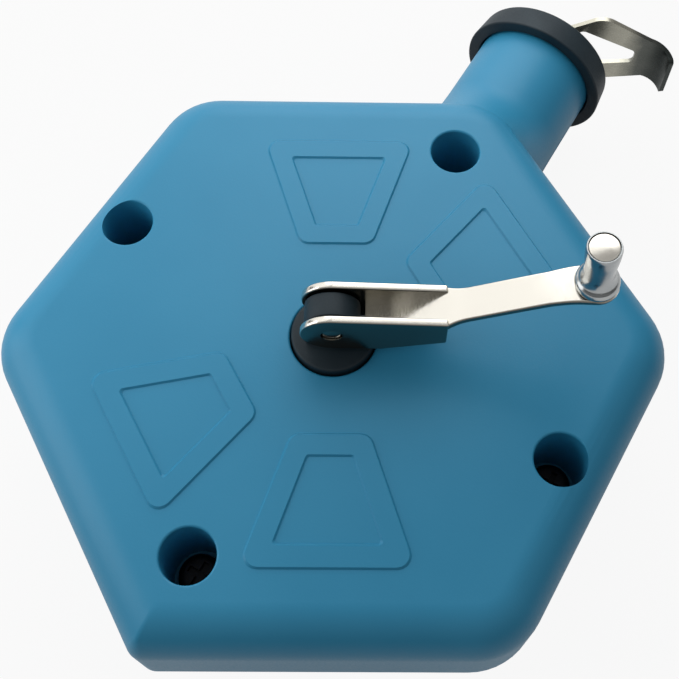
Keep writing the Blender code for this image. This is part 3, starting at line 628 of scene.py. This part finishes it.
def soft_fibre(name, light, dark, scale, bump):
    """Felt, line and rubber: broken matte colour with a fibrous surface."""
    made, tree, shader = nodes_of(name)
    fibres = object_noise(tree, scale, detail=8.0)
    tree.links.new(ramp(tree, fibres, ((0.35, light), (0.70, dark))), shader.inputs["Base Color"])
    tree.links.new(ramp(tree, fibres, ((0.3, grey(0.80)), (0.7, grey(0.96)))), shader.inputs["Roughness"])
    add_bump(tree, shader, fibres, distance=0.0001, strength=bump)
    return made


CASE = case_plastic()
BLACK = black_plastic()
NATURAL = natural_plastic()
TURNED = metal("turned_steel", light=(0.47, 0.49, 0.49), dark=(0.38, 0.40, 0.41),
               smooth=0.16, rough=0.28, stretch=SCRATCHES, bump=0.12)
BRIGHT = metal("bright_steel", light=PLATE_LIGHT, dark=PLATE_DARK,
               smooth=0.12, rough=0.26, stretch=SCRATCHES, bump=0.12)
STAMPED = metal("stamped_steel", light=(0.37, 0.36, 0.32), dark=(0.29, 0.28, 0.25),
                smooth=0.20, rough=0.32, stretch=LONG_SCRATCHES, bump=0.15)
HOOK_PAINTED_SHADE = hook_steel_painted_shade()
CRANK_PAINTED_SHADE = crank_steel_painted_side_shade()
ZINC = metal("zinc_steel", light=(0.56, 0.56, 0.54), dark=(0.44, 0.44, 0.42),
             smooth=0.28, rough=0.42, stretch=CROSS_SCRATCHES, bump=0.2)
BLACK_STEEL = metal("black_steel", light=(0.020, 0.021, 0.023), dark=(0.034, 0.034, 0.036),
                    smooth=0.42, rough=0.6, stretch=EVEN_GRAIN, bump=0.2)
FELT = soft_fibre("felt", light=(0.50, 0.48, 0.43), dark=(0.36, 0.36, 0.35), scale=2600.0, bump=0.9)
LINE = soft_fibre("line", light=(0.72, 0.71, 0.66), dark=(0.40, 0.50, 0.60), scale=3500.0, bump=0.6)
RUBBER = soft_fibre("rubber", light=(0.020, 0.020, 0.022), dark=(0.032, 0.032, 0.034), scale=900.0, bump=0.2)


def hexagon(drawn_in):
    """Outline of the hexagon with a corner on +Y and a sharper one opposite, drawn in all round."""
    half = math.radians(30)
    outline = []
    for k in range(6):
        middle = math.radians(90 + 60 * k)
        full_round = TAIL_ROUND if k == TAIL_CORNER else CORNER_ROUND
        corner_round = max(full_round - drawn_in, LEAST_ROUND)
        centre_reach = (APOTHEM - drawn_in - corner_round) / COS30
        centre = (centre_reach * math.cos(middle), centre_reach * math.sin(middle))
        outline += arc(centre, corner_round, middle - half, middle + half, CORNER_STEPS)
    return outline


def case_form(shrink):
    """Closed form of the case with rounded rims, drawn in by a wall's thickness."""
    edge = EDGE_ROUND - shrink
    sweep = [math.pi / 2 * i / EDGE_STEPS for i in range(EDGE_STEPS + 1)]
    rings = []
    for turned in reversed(sweep):
        height = BACK + shrink + edge * (1 - math.sin(turned))
        drawn_in = shrink + edge * (1 - math.cos(turned)) + (PARTING - height) * math.tan(BACK_DRAFT)
        rings.append([(x, y, height) for x, y in hexagon(drawn_in)])
    rings.append([(x, y, PARTING) for x, y in hexagon(shrink)])
    for turned in sweep:
        height = FRONT - shrink - edge * (1 - math.sin(turned))
        rings.append([(x, y, height) for x, y in hexagon(shrink + edge * (1 - math.cos(turned)))])
    return loft(rings)


def neck_form():
    """Solid neck that comes down from the case's faces to a round tube with a softened end."""
    face = FRONT - PARTING - FIT_GAP
    stations = [(POST_PITCH_RADIUS, NECK_RADIUS, face)]
    for i in range(NECK_STEPS + 1):
        share = i / NECK_STEPS
        fall = (1 + math.cos(math.pi * share)) / 2
        height = NECK_RADIUS + (face - NECK_RADIUS) * fall
        stations.append((NECK_BLEND_START + NECK_BLEND_LENGTH * share, NECK_RADIUS, height))
    for angle in (0, math.pi / 6, math.pi / 3, math.pi / 2):
        radius = NECK_RADIUS - NECK_LIP * (1 - math.cos(angle))
        stations.append((NECK_END - NECK_LIP * (1 - math.sin(angle)), radius, radius))
    rings = []
    for reach, width, height in stations:
        rings.append([(x * width, reach, PARTING + y * height) for x, y in circle(1.0, ROUND_STEPS)])
    return loft(rings)


def post_places():
    """Screw posts on the four sides of the spool."""
    for k in range(4):
        angle = math.radians(90 * k)
        yield k + 1, Vector((POST_PITCH_RADIUS * math.cos(angle), POST_PITCH_RADIUS * math.sin(angle), 0))


def cavity_object():
    """The hollow of the case, less the screw posts and the rear bearing's socket."""
    cavity = add_object("cavity", case_form(WALL))
    for _, place_of in post_places():
        post = prism(circle(POST_RADIUS, SMALL_STEPS), BACK, FRONT)
        combine(cavity, post, "DIFFERENCE", Matrix.Translation(place_of))
    outer = SOCKET_RADIUS + SOCKET_WALL
    socket = [(outer, SOCKET_HEIGHT), (outer, BACK), (SOCKET_RADIUS, BACK), (SOCKET_RADIUS, SOCKET_HEIGHT)]
    combine(cavity, lathe(socket, closed=True), "DIFFERENCE")
    return cavity


def relief_frame():
    """A rounded trapezoid band with sloped edges, lying on the front face towards +X."""
    def outline(drawn_in, height):
        slant = (RELIEF_OUTER_HALF - RELIEF_INNER_HALF) / (RELIEF_OUTER_REACH - RELIEF_INNER_REACH)
        shift = drawn_in * math.hypot(1, slant)
        inner = RELIEF_INNER_REACH + drawn_in
        outer = RELIEF_OUTER_REACH - drawn_in
        inner_half = RELIEF_INNER_HALF + slant * drawn_in - shift
        outer_half = RELIEF_OUTER_HALF - slant * drawn_in - shift
        corner = max(RELIEF_ROUND - drawn_in / 2, RELIEF_ROUND / 4)
        corners = [(inner, -inner_half, corner), (outer, -outer_half, corner),
                   (outer, outer_half, corner), (inner, inner_half, corner)]
        return [(x, y, height) for x, y in rounded(corners, steps=5)]
    low = FRONT - WALL / 4
    high = FRONT + RELIEF_HEIGHT
    section = ((0, low), (0, FRONT), (RELIEF_SLOPE, high),
               (RELIEF_BAND - RELIEF_SLOPE, high), (RELIEF_BAND, FRONT), (RELIEF_BAND, low))
    return loft([outline(drawn_in, height) for drawn_in, height in section], closed=True)


def hole_mouth(radius):
    """Profile of a hole's softened mouth in the front face, from above the face down into the hole."""
    outer = radius + COUNTERBORE_LIP
    lip = arc((outer, FRONT - COUNTERBORE_LIP), COUNTERBORE_LIP, math.pi / 2, math.pi, LIP_STEPS)
    return [(0, FRONT + WALL), (outer, FRONT + WALL), *lip]


def counterbore():
    """Stepped screw hole with a softened mouth."""
    floor = COUNTERBORE_FLOOR
    bottom = SCREW_LOW.z - FIT_GAP
    points = hole_mouth(COUNTERBORE_RADIUS) + [(COUNTERBORE_RADIUS, floor), (SHANK_HOLE_RADIUS, floor),
                                               (SHANK_HOLE_RADIUS, bottom), (0, bottom)]
    return lathe(points, SMALL_STEPS)


def case_half(name, low, high, cavity):
    """One shell of the case, with its half of the neck."""
    shell = add_object(name, case_form(0))
    combine(shell, neck_form(), "UNION")
    combine(shell, cavity.data.copy(), "DIFFERENCE")
    bore_start = POST_PITCH_RADIUS + POST_RADIUS + FIT_GAP
    mouth = NECK_BORE_RADIUS + NECK_LIP
    bore = [(0, bore_start), (NECK_BORE_RADIUS, bore_start), (NECK_BORE_RADIUS, NECK_END - NECK_LIP),
            (mouth, NECK_END), (mouth, 2 * NECK_END), (0, 2 * NECK_END)]
    combine(shell, lathe(bore), "DIFFERENCE", along_neck())
    reach = 2 * NECK_END
    combine(shell, prism(rectangle(reach, reach), low, high), "INTERSECT")
    for _, place_of in post_places():
        combine(shell, counterbore(), "DIFFERENCE", Matrix.Translation(place_of))
    return shell


def make_case():
    """Both shells, the front one with its hub hole and raised design."""
    cavity = cavity_object()
    front = case_half("front_shell_skin", FRONT_LOW.z, 2 * FRONT, cavity)
    back = case_half("back_shell_skin", BACK - FRONT, BACK_HIGH.z, cavity)
    bpy.data.objects.remove(cavity, do_unlink=True)
    hub_hole = hole_mouth(HUB_HOLE_RADIUS) + [(HUB_HOLE_RADIUS, PARTING), (0, PARTING)]
    combine(front, lathe(hub_hole), "DIFFERENCE")
    for angle in RELIEF_SIDES:
        combine(front, relief_frame(), "UNION", Matrix.Rotation(math.radians(angle), 4, "Z"))
    piece(front, CASE, "case", "case", "front_shell")
    piece(back, CASE, "case", "case", "back_shell")


def make_case_screws():
    """Pan head screws with a cross recess, at the bottom of the counterbores."""
    head = (SCREW_HIGH.x - SCREW_LOW.x) / 2
    seat = COUNTERBORE_FLOOR + FIT_GAP
    top = SCREW_HIGH.z
    tip = SCREW_LOW.z
    shank = SHANK_HOLE_RADIUS - FIT_GAP
    points = rounded([(0, top, 0), (head, top, head / 3), (head, seat, FIT_GAP), (shank, seat, FIT_GAP),
                      (shank, tip, FIT_GAP), (0, tip, 0)], closed=False, steps=4)
    slot_long = head * 0.6
    slot_half = head / 7
    for k, place_of in post_places():
        screw = add_object(f"case_screw_skin_{k}", lathe(points, SMALL_STEPS))
        for half_x, half_y in ((slot_long, slot_half), (slot_half, slot_long)):
            combine(screw, prism(rectangle(half_x, half_y), top - head / 3, top + head), "DIFFERENCE")
        screw.data.transform(Matrix.Translation(place_of))
        piece(screw, BLACK_STEEL, "case", "black_steel", f"case_screw_{k}")


def make_hub():
    """Hub disc, shoulder and drive shaft, with the tongue that the crank folds on."""
    points = rounded([(0, HUB_TOP, 0), (HUB_RADIUS, HUB_TOP, HUB_CHAMFER), (HUB_RADIUS, SHOULDER_TOP, 0),
                      (SHOULDER_RADIUS, SHOULDER_TOP, FIT_GAP), (SHOULDER_RADIUS, SHOULDER_BOTTOM, FIT_GAP),
                      (0, SHOULDER_BOTTOM, 0)], closed=False, steps=4)
    hub = add_object("crank_hub_skin", lathe(points))
    root = HUB_TOP - HUB_CHAMFER - FRONT - PIN_HEIGHT
    outline = arc((0, 0), TONGUE_ROUND, 0, math.pi, TONGUE_STEPS)
    outline += [(-TONGUE_ROUND, root), (TONGUE_ROUND, root)]
    half = EAR_INNER - FIT_GAP
    tongue = add_object("tongue", prism(outline, -half, half))
    round_edges(tongue, FIT_GAP)
    combine(hub, tongue.data, "UNION", crank_place() @ UPRIGHT)
    bpy.data.objects.remove(tongue, do_unlink=True)
    shaft = prism(circle(SHAFT_RADIUS, 6), HUB_LOW.z, SHOULDER_TOP)
    combine(hub, shaft, "UNION")
    hole = prism(circle(PIN_RADIUS + FIT_GAP, SMALL_STEPS), -EAR_SPREAD, EAR_SPREAD)
    combine(hub, hole, "DIFFERENCE", crank_place() @ UPRIGHT)
    combine(hub, prism(circle(HUB_SCREW_BORE, SMALL_STEPS), BACK, HUB_SCREW_TIP), "DIFFERENCE")
    piece(hub, BLACK, "reel", "black_plastic", "crank_hub")


def sheet_section(top, along, width):
    """Ring round the crank's sheet at one place of its route, with rounded edges."""
    up = Vector((-along.z, 0, along.x))
    corners = [(width, 0, SHEET_ROUND), (-width, 0, SHEET_ROUND),
               (-width, -SHEET, SHEET_ROUND), (width, -SHEET, SHEET_ROUND)]
    return [top + Vector((0, across, 0)) + up * depth for across, depth in rounded(corners, steps=3)]


def bar_width(reach):
    """Half the bar's width: as wide as the ears at the web, slim behind them, round at its end."""
    ear_half = EAR_SPREAD - SHEET / 10
    web_end = WEB_END[0]
    bar_start = BAR_START[0]
    if reach <= web_end:
        inside = EAR_INNER + SHEET / 2
        share = max(0, (reach - WEB_MIDDLE[0]) / (web_end - WEB_MIDDLE[0]))
        return inside + (ear_half - inside) * share ** 2
    if reach <= bar_start:
        share = (reach - web_end) / (bar_start - web_end)
        return ear_half + (BAR_HALF_WIDTH - ear_half) * (1 - (1 - share) ** 2)
    if reach <= BAR_REACH:
        share = max(0, (reach - BAR_KNEE[0]) / (BAR_REACH - BAR_KNEE[0]))
        return BAR_HALF_WIDTH + (BAR_END_HALF_WIDTH - BAR_HALF_WIDTH) * share
    over = min((reach - BAR_REACH) / (BAR_END_HALF_WIDTH + SHEET_ROUND), 1)
    return max(BAR_END_HALF_WIDTH * math.sqrt(1 - over ** 2), 2 * SHEET_ROUND)


def ear_outline():
    """Side view of an ear: round at the pin, narrowing to the bar."""
    outline = arc((0, 0), EAR_ROUND, EAR_ROUND_START, math.radians(270), EAR_STEPS)
    return outline + [EAR_FOOT, (EAR_LENGTH, EAR_END_DROP), (EAR_LENGTH, EAR_END_HEIGHT)]


def make_crank_arm():
    """Folded sheet lever: curved bar, two ears, pin holes and the rivet's hole."""
    route = smooth_route([(x, 0, z) for x, z in BAR_ROUTE], BAR_STEPS)
    rings = [sheet_section(top, along, bar_width(top.x)) for top, along in zip(route, directions(route))]
    arm = add_object("crank_arm_skin", loft(rings))
    for low, high in ((EAR_INNER, EAR_SPREAD), (-EAR_SPREAD, -EAR_INNER)):
        ear = add_object("ear", prism(ear_outline(), low, high))
        round_edges(ear, SHEET_ROUND)
        combine(arm, ear.data, "UNION", UPRIGHT)
        bpy.data.objects.remove(ear, do_unlink=True)
    hole = prism(circle(PIN_RADIUS + FIT_GAP, SMALL_STEPS), -2 * EAR_SPREAD, 2 * EAR_SPREAD)
    combine(arm, hole, "DIFFERENCE", UPRIGHT)
    arm.data.transform(crank_place())
    rivet_hole = prism(circle(KNOB_BORE, SMALL_STEPS), -4 * SHEET, 4 * SHEET)
    combine(arm, rivet_hole, "DIFFERENCE", knob_place())
    piece(arm, CRANK_PAINTED_SHADE, "crank", "bright_steel", "crank_arm")


def make_crank_pin():
    """Pin with softly domed ends, flush with the ears."""
    dome = FIT_GAP
    points = [(0, EAR_SPREAD), (PIN_RADIUS * 0.6, EAR_SPREAD - dome / 4), (PIN_RADIUS, EAR_SPREAD - dome)]
    points += [(radius, -height) for radius, height in reversed(points)]
    pin = add_object("crank_pin_skin", lathe(points, SMALL_STEPS))
    pin.data.transform(crank_place() @ UPRIGHT)
    piece(pin, CRANK_PAINTED_SHADE, "crank", "bright_steel", "crank_pin")


def make_knob():
    """Turned knob with a flared foot and slim waist, and the rivet in its end."""
    floor = KNOB_LENGTH - RIVET_HEAD_HEIGHT - FIT_GAP
    side = smooth_route([(radius, 0, height) for radius, height in KNOB_SIDE], KNOB_STEPS)
    points = [(KNOB_END_RADIUS, KNOB_LENGTH), *[(point.x, point.z) for point in side],
              (KNOB_FOOT_RADIUS, FIT_GAP), (KNOB_BORE, FIT_GAP), (KNOB_BORE, floor),
              (RIVET_RECESS, floor), (RIVET_RECESS, KNOB_LENGTH)]
    knob = add_object("knob_skin", lathe(points, closed=True))
    knob.data.transform(knob_place())
    piece(knob, TURNED, "knob", "bright_steel", "knob_sleeve")
    head = KNOB_LENGTH - RIVET_HEAD_HEIGHT
    under = -SHEET - 2 * FIT_GAP
    foot = under - RIVET_HEAD_HEIGHT
    dome = FIT_GAP / 3
    outline = rounded([(0, KNOB_LENGTH, 0), (RIVET_HEAD_RADIUS, KNOB_LENGTH - dome, dome),
                       (RIVET_HEAD_RADIUS, head, dome), (RIVET_RADIUS, head, 0), (RIVET_RADIUS, under, 0),
                       (RIVET_HEAD_RADIUS, under, dome), (RIVET_HEAD_RADIUS, foot, FIT_GAP), (0, foot, 0)],
                      closed=False, steps=4)
    rivet = add_object("knob_rivet_skin", lathe(outline))
    rivet.data.transform(knob_place())
    piece(rivet, BRIGHT, "crank", "bright_steel", "knob_rivet")


def make_cap():
    """Cap over the neck's end, with rounded rims, the line hole and the felt's pocket."""
    start = CAP_LOW.y
    end = CAP_HIGH.y
    outer = CAP_HIGH.x
    cup = NECK_RADIUS + FIT_GAP
    points = rounded([(outer - CAP_EDGE, end, CAP_EDGE), (outer, start, CAP_EDGE / 2), (cup, start, FIT_GAP),
                      (cup, CUP_FLOOR, 0), (POCKET_RADIUS, CUP_FLOOR, 0), (POCKET_RADIUS, POCKET_FLOOR, 0),
                      (LINE_HOLE_RADIUS, POCKET_FLOOR, 0), (LINE_HOLE_RADIUS, end, FIT_GAP)], steps=5)
    cap = add_object("neck_cap_skin", lathe(points, closed=True))
    cap.data.transform(along_neck())
    piece(cap, BLACK, "cap", "black_plastic", "neck_cap")


def felt_ring(name, inner, outer, low, high, place, body, node):
    """Felt ring with soft edges and an uneven face."""
    soft = (high - low) / 4
    corners = [(outer, high, soft), (outer, low, soft), (inner, low, soft), (inner, high, soft)]
    ring = add_object(name, lathe(rounded(corners, steps=3), closed=True))
    lumps_per_metre = 1800
    for vertex in ring.data.vertices:
        vertex.co.z += noise.noise(vertex.co * lumps_per_metre) * soft / 4
    ring.data.transform(place)
    piece(ring, FELT, body, "felt", node)


def make_felts():
    """The line wiper in the cap and the seal round the hub."""
    felt_ring("line_wiper_skin", LINE_RADIUS + FIT_GAP, WIPER_HIGH.x, WIPER_LOW.y, WIPER_HIGH.y,
              along_neck(), "cap", "line_wiper")
    felt_ring("hub_seal_skin", HUB_RADIUS + FIT_GAP, SEAL_HIGH.x, SEAL_LOW.z, SEAL_HIGH.z,
              Matrix.Identity(4), "case", "hub_seal")


def tube_rings(route, radius, sides):
    """Rings of a tube along a route, with a frame that turns as little as it can."""
    normal = Vector((0, 0, 1))
    rings = []
    for point, along in zip(route, directions(route)):
        normal = (normal - along * normal.dot(along)).normalized()
        side = along.cross(normal)
        rings.append([point + (normal * x + side * y) for x, y in circle(radius, sides)])
    return rings


def twisted_line(name, route, body, node):
    """Strands laid round a route."""
    rings = tube_rings(route, STRAND_REACH, STRANDS * SMALL_STEPS)
    lengths = [0.0]
    for before, after in zip(route, route[1:]):
        lengths.append(lengths[-1] + (after - before).length)
    strands = []
    for k in range(STRANDS):
        strand = []
        for ring, length in zip(rings, lengths):
            turned = (k / STRANDS + length / STRAND_LAY) * len(ring)
            strand.append(ring[int(turned) % len(ring)])
        strands.append(loft(tube_rings(strand, STRAND_RADIUS, CORD_SIDES)))
    piece(joined(name, strands), LINE, body, "line", node)


def make_line():
    """The line inside the case, its end through the cap, and the winding on the drum."""
    lift = WINDING_HIGH.x + FIT_GAP + LINE_RADIUS
    start = Vector((lift * math.cos(LINE_LEAVE_ANGLE), lift * math.sin(LINE_LEAVE_ANGLE), PARTING))
    run = [start, start + Vector(LINE_LEAVE_STEP)]
    past_post = POST_RADIUS + LINE_POST_GAP
    run += [(past_post + x, POST_PITCH_RADIUS + y, PARTING) for x, y in LINE_AT_POST]
    run += [(x, LINE_SPLICE + y, PARTING) for x, y in LINE_AT_SPLICE]
    twisted_line("line_run_skin", smooth_route(run, RUN_STEPS), "case", "line_run")
    loop = RING_CENTRE - RING_RADIUS
    end = [(0, LINE_SPLICE + (CUP_FLOOR - LINE_SPLICE) * k / 4, PARTING) for k in range(5)]
    end += [(0, loop - back * LOOP_RADIUS, PARTING + rise * LOOP_RADIUS) for back, rise in LOOP_LEAD]
    end += [(0, y, z) for y, z in arc((loop, PARTING), LOOP_RADIUS, math.pi / 2, LOOP_END_ANGLE, LOOP_STEPS)]
    twisted_line("line_end_skin", smooth_route(end, END_STEPS), "line", "line_end")
    make_winding()


def make_winding():
    """Outer layer of turns over a plain core."""
    low = WINDING_LOW.z + LINE_RADIUS
    high = WINDING_HIGH.z - LINE_RADIUS
    lift = WINDING_HIGH.x - LINE_RADIUS
    steps = int((high - low) / TURN_PITCH) * TURN_STEPS
    route = []
    for i in range(steps + 1):
        angle = math.tau * i / TURN_STEPS
        height = low + (high - low) * i / steps
        route.append(Vector((lift * math.cos(angle), lift * math.sin(angle), height)))
    turns = loft(tube_rings(route, LINE_RADIUS, CORD_SIDES))
    outer = lift - LINE_RADIUS / 2
    inner = DRUM_RADIUS + FIT_GAP
    top = WINDING_HIGH.z
    bottom = WINDING_LOW.z
    core = lathe([(outer, top), (outer, bottom), (inner, bottom), (inner, top)], closed=True)
    winding = joined("line_winding_skin", [turns, core])
    piece(winding, LINE, "reel", "line", "line_winding")


def make_ring():
    """Wire ring with a butted joint."""
    sweep = arc((0, RING_CENTRE), RING_RADIUS, RING_JOINT_ANGLE, math.tau - RING_JOINT_ANGLE, RING_STEPS)
    route = [Vector((x, y, PARTING)) for x, y in sweep]
    ring = add_object("hook_ring_skin", loft(tube_rings(route, RING_WIRE_RADIUS, RING_SIDES)))
    piece(ring, STAMPED, "line", "stamped_steel", "hook_ring")


def hook_blank():
    """Outlines of the flat blank before its claw is bent: the plate with the claw, and the eye."""
    half = HOOK_BAR / 2
    tip = HOOK_BEND + CLAW_RADIUS * CLAW_TURN
    plate = [(-half, HOOK_BASE_HALF, half), (*HOOK_CREST, HOOK_ROUND), (HOOK_BEND, HOOK_BEND_TOP, 0),
             (tip, CLAW_TIP_TOP, HOOK_SHEET), (tip, CLAW_TIP_BOTTOM, HOOK_SHEET / 2),
             (HOOK_BEND, HOOK_BEND_BOTTOM, 0), (*HOOK_FOOT, HOOK_ROUND), (-half, -HOOK_BASE_HALF, half)]
    eye = [(half, EYE_BASE_TOP, EYE_ROUND / 2), (*EYE_CREST, EYE_ROUND),
           (EYE_TIP, EYE_TIP_TOP, EYE_ROUND), (EYE_TIP, EYE_TIP_BOTTOM, EYE_ROUND),
           (*EYE_FOOT, EYE_ROUND), (half, EYE_BASE_BOTTOM, EYE_ROUND / 2)]
    return rounded(plate), rounded(eye)


def make_hook():
    """Stamped hook: a flat blank with its eye, bent at the claw and given its sheet's thickness."""
    def build(shape):
        for outline in hook_blank():
            corners = [shape.verts.new((x, 0, z)) for x, z in outline]
            for a, b in zip(corners, corners[1:] + corners[:1]):
                shape.edges.new((a, b))
        bmesh.ops.triangle_fill(shape, edges=shape.edges[:], use_beauty=True, normal=(0, -1, 0))
        for k in range(CLAW_STEPS):
            cut = (HOOK_BEND + CLAW_RADIUS * CLAW_TURN * k / CLAW_STEPS, 0, 0)
            geometry = shape.verts[:] + shape.edges[:] + shape.faces[:]
            bmesh.ops.bisect_plane(shape, geom=geometry, dist=CUT_SLACK, plane_co=cut, plane_no=(1, 0, 0))
        for vertex in shape.verts:
            turned = (vertex.co.x - HOOK_BEND) / CLAW_RADIUS
            if turned > 0:
                vertex.co.x = HOOK_BEND + CLAW_RADIUS * math.sin(turned)
                vertex.co.y = CLAW_RADIUS * (math.cos(turned) - 1)
    hook = add_object("hook_skin", mesh_from(build))
    solid = hook.modifiers.new("sheet", "SOLIDIFY")
    solid.thickness = HOOK_SHEET
    solid.offset = 0
    apply_modifiers(hook)
    round_edges(hook, HOOK_SHEET / 5)
    hook.data.transform(hook_place())
    piece(hook, HOOK_PAINTED_SHADE, "hook", "stamped_steel", "hook")


def dress_cad_nodes():
    """Materials of the inner CAD nodes that stay as they are."""
    dress = (("spool", NATURAL), ("rear_bush", BLACK), ("hub_screw", ZINC), ("hub_washer", ZINC),
             ("wiper_retainer", ZINC), ("cap_seal_ring", RUBBER))
    for name, material in dress:
        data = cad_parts[name].data
        data.materials.clear()
        data.materials.append(material)


def make_floor():
    """Pale floor that shows white, with the reel's soft shadow on it.

    The camera and see-through surfaces see it nearly white. Metal sees it a little darker, and darker still
    close to the reel, where ambient occlusion paints a contact shade into the glow that metal mirrors.
    """
    floor = add_object("floor", prism(rectangle(FLOOR_HALF, FLOOR_HALF), -FLOOR_DEPTH, BACK))
    made, tree, shader = nodes_of("floor_white")
    shader.inputs["Base Color"].default_value = (*grey(FLOOR_GREY), 1.0)
    shader.inputs["Roughness"].default_value = 0.9
    shader.inputs["Specular IOR Level"].default_value = 0.0
    path = tree.nodes.new("ShaderNodeLightPath").outputs
    # Painted contact shade: ambient occlusion darkens the glowing floor that metal mirrors near the reel
    painted_contact_shade = tree.nodes.new("ShaderNodeAmbientOcclusion")
    painted_contact_shade.samples = 4
    painted_contact_shade.inputs["Distance"].default_value = FLOOR_SHADE_REACH
    painted_contact_shade.inputs["Color"].default_value = (*grey(FLOOR_MIRROR_SHARE), 1.0)
    mirrored = math_node(tree, "MULTIPLY", path["Is Glossy Ray"], painted_contact_shade.outputs["Color"])
    seen = math_node(tree, "MAXIMUM", path["Is Camera Ray"], mirrored)
    seen = math_node(tree, "MAXIMUM", seen, path["Is Transmission Ray"])
    share = math_node(tree, "MULTIPLY", seen, FLOOR_WHITE_SHARE)
    glow = tree.nodes.new("ShaderNodeEmission")
    mix = tree.nodes.new("ShaderNodeMixShader")
    tree.links.new(share, mix.inputs["Fac"])
    tree.links.new(shader.outputs["BSDF"], mix.inputs[1])
    tree.links.new(glow.outputs["Emission"], mix.inputs[2])
    tree.links.new(mix.outputs["Shader"], tree.nodes["Material Output"].inputs["Surface"])
    floor.data.materials.append(made)


def make_world():
    """Grey studio walls under a bright ceiling."""
    world = bpy.data.worlds.new("studio")
    bpy.context.scene.world = world
    world.use_nodes = True
    tree = world.node_tree
    place = tree.nodes.new("ShaderNodeTexCoord")
    split = tree.nodes.new("ShaderNodeSeparateXYZ")
    tree.links.new(place.outputs["Generated"], split.inputs["Vector"])
    colour = ramp(tree, split.outputs["Z"], [(height, grey(value)) for height, value in ROOM_GREYS])
    tree.links.new(colour, tree.nodes["Background"].inputs["Color"])


def add_area_light(name, place, size, power):
    """Square soft light that looks at the reel's middle."""
    data = bpy.data.lights.new(name, "AREA")
    data.size = size
    data.energy = power
    light = add_object(name, data)
    light.location = place
    light.rotation_euler = (Vector((0, 0, FRONT)) - Vector(place)).to_track_quat("-Z", "Y").to_euler()


def make_lights():
    """Key panel at the photograph's upper left, with weaker ones on its left and by the neck."""
    add_area_light("key_panel", place=(-0.118, 0.098, 0.138), size=0.32, power=0.27)
    add_area_light("left_panel", place=(-0.115, -0.080, 0.095), size=0.12, power=0.09)
    add_area_light("neck_panel", place=(-0.040, 0.105, 0.125), size=0.14, power=0.085)


def make_camera():
    """Camera at the photograph's viewing angle."""
    data = bpy.data.cameras.new("camera")
    data.sensor_fit = "HORIZONTAL"
    data.sensor_width = CAMERA_SENSOR
    data.lens = CAMERA_LENS
    data.shift_x, data.shift_y = CAMERA_SHIFT
    data.clip_start = 0.01
    camera = add_object("camera", data)
    camera.location = CAMERA_PLACE
    camera.rotation_euler = CAMERA_TURN
    bpy.context.scene.camera = camera


def main():
    """Build every piece and the studio."""
    make_case()
    make_case_screws()
    make_hub()
    make_crank_arm()
    make_crank_pin()
    make_knob()
    make_cap()
    make_felts()
    make_line()
    make_ring()
    make_hook()
    dress_cad_nodes()
    make_floor()
    make_world()
    make_lights()
    make_camera()
    bpy.context.scene.view_settings.view_transform = "Standard"


main()
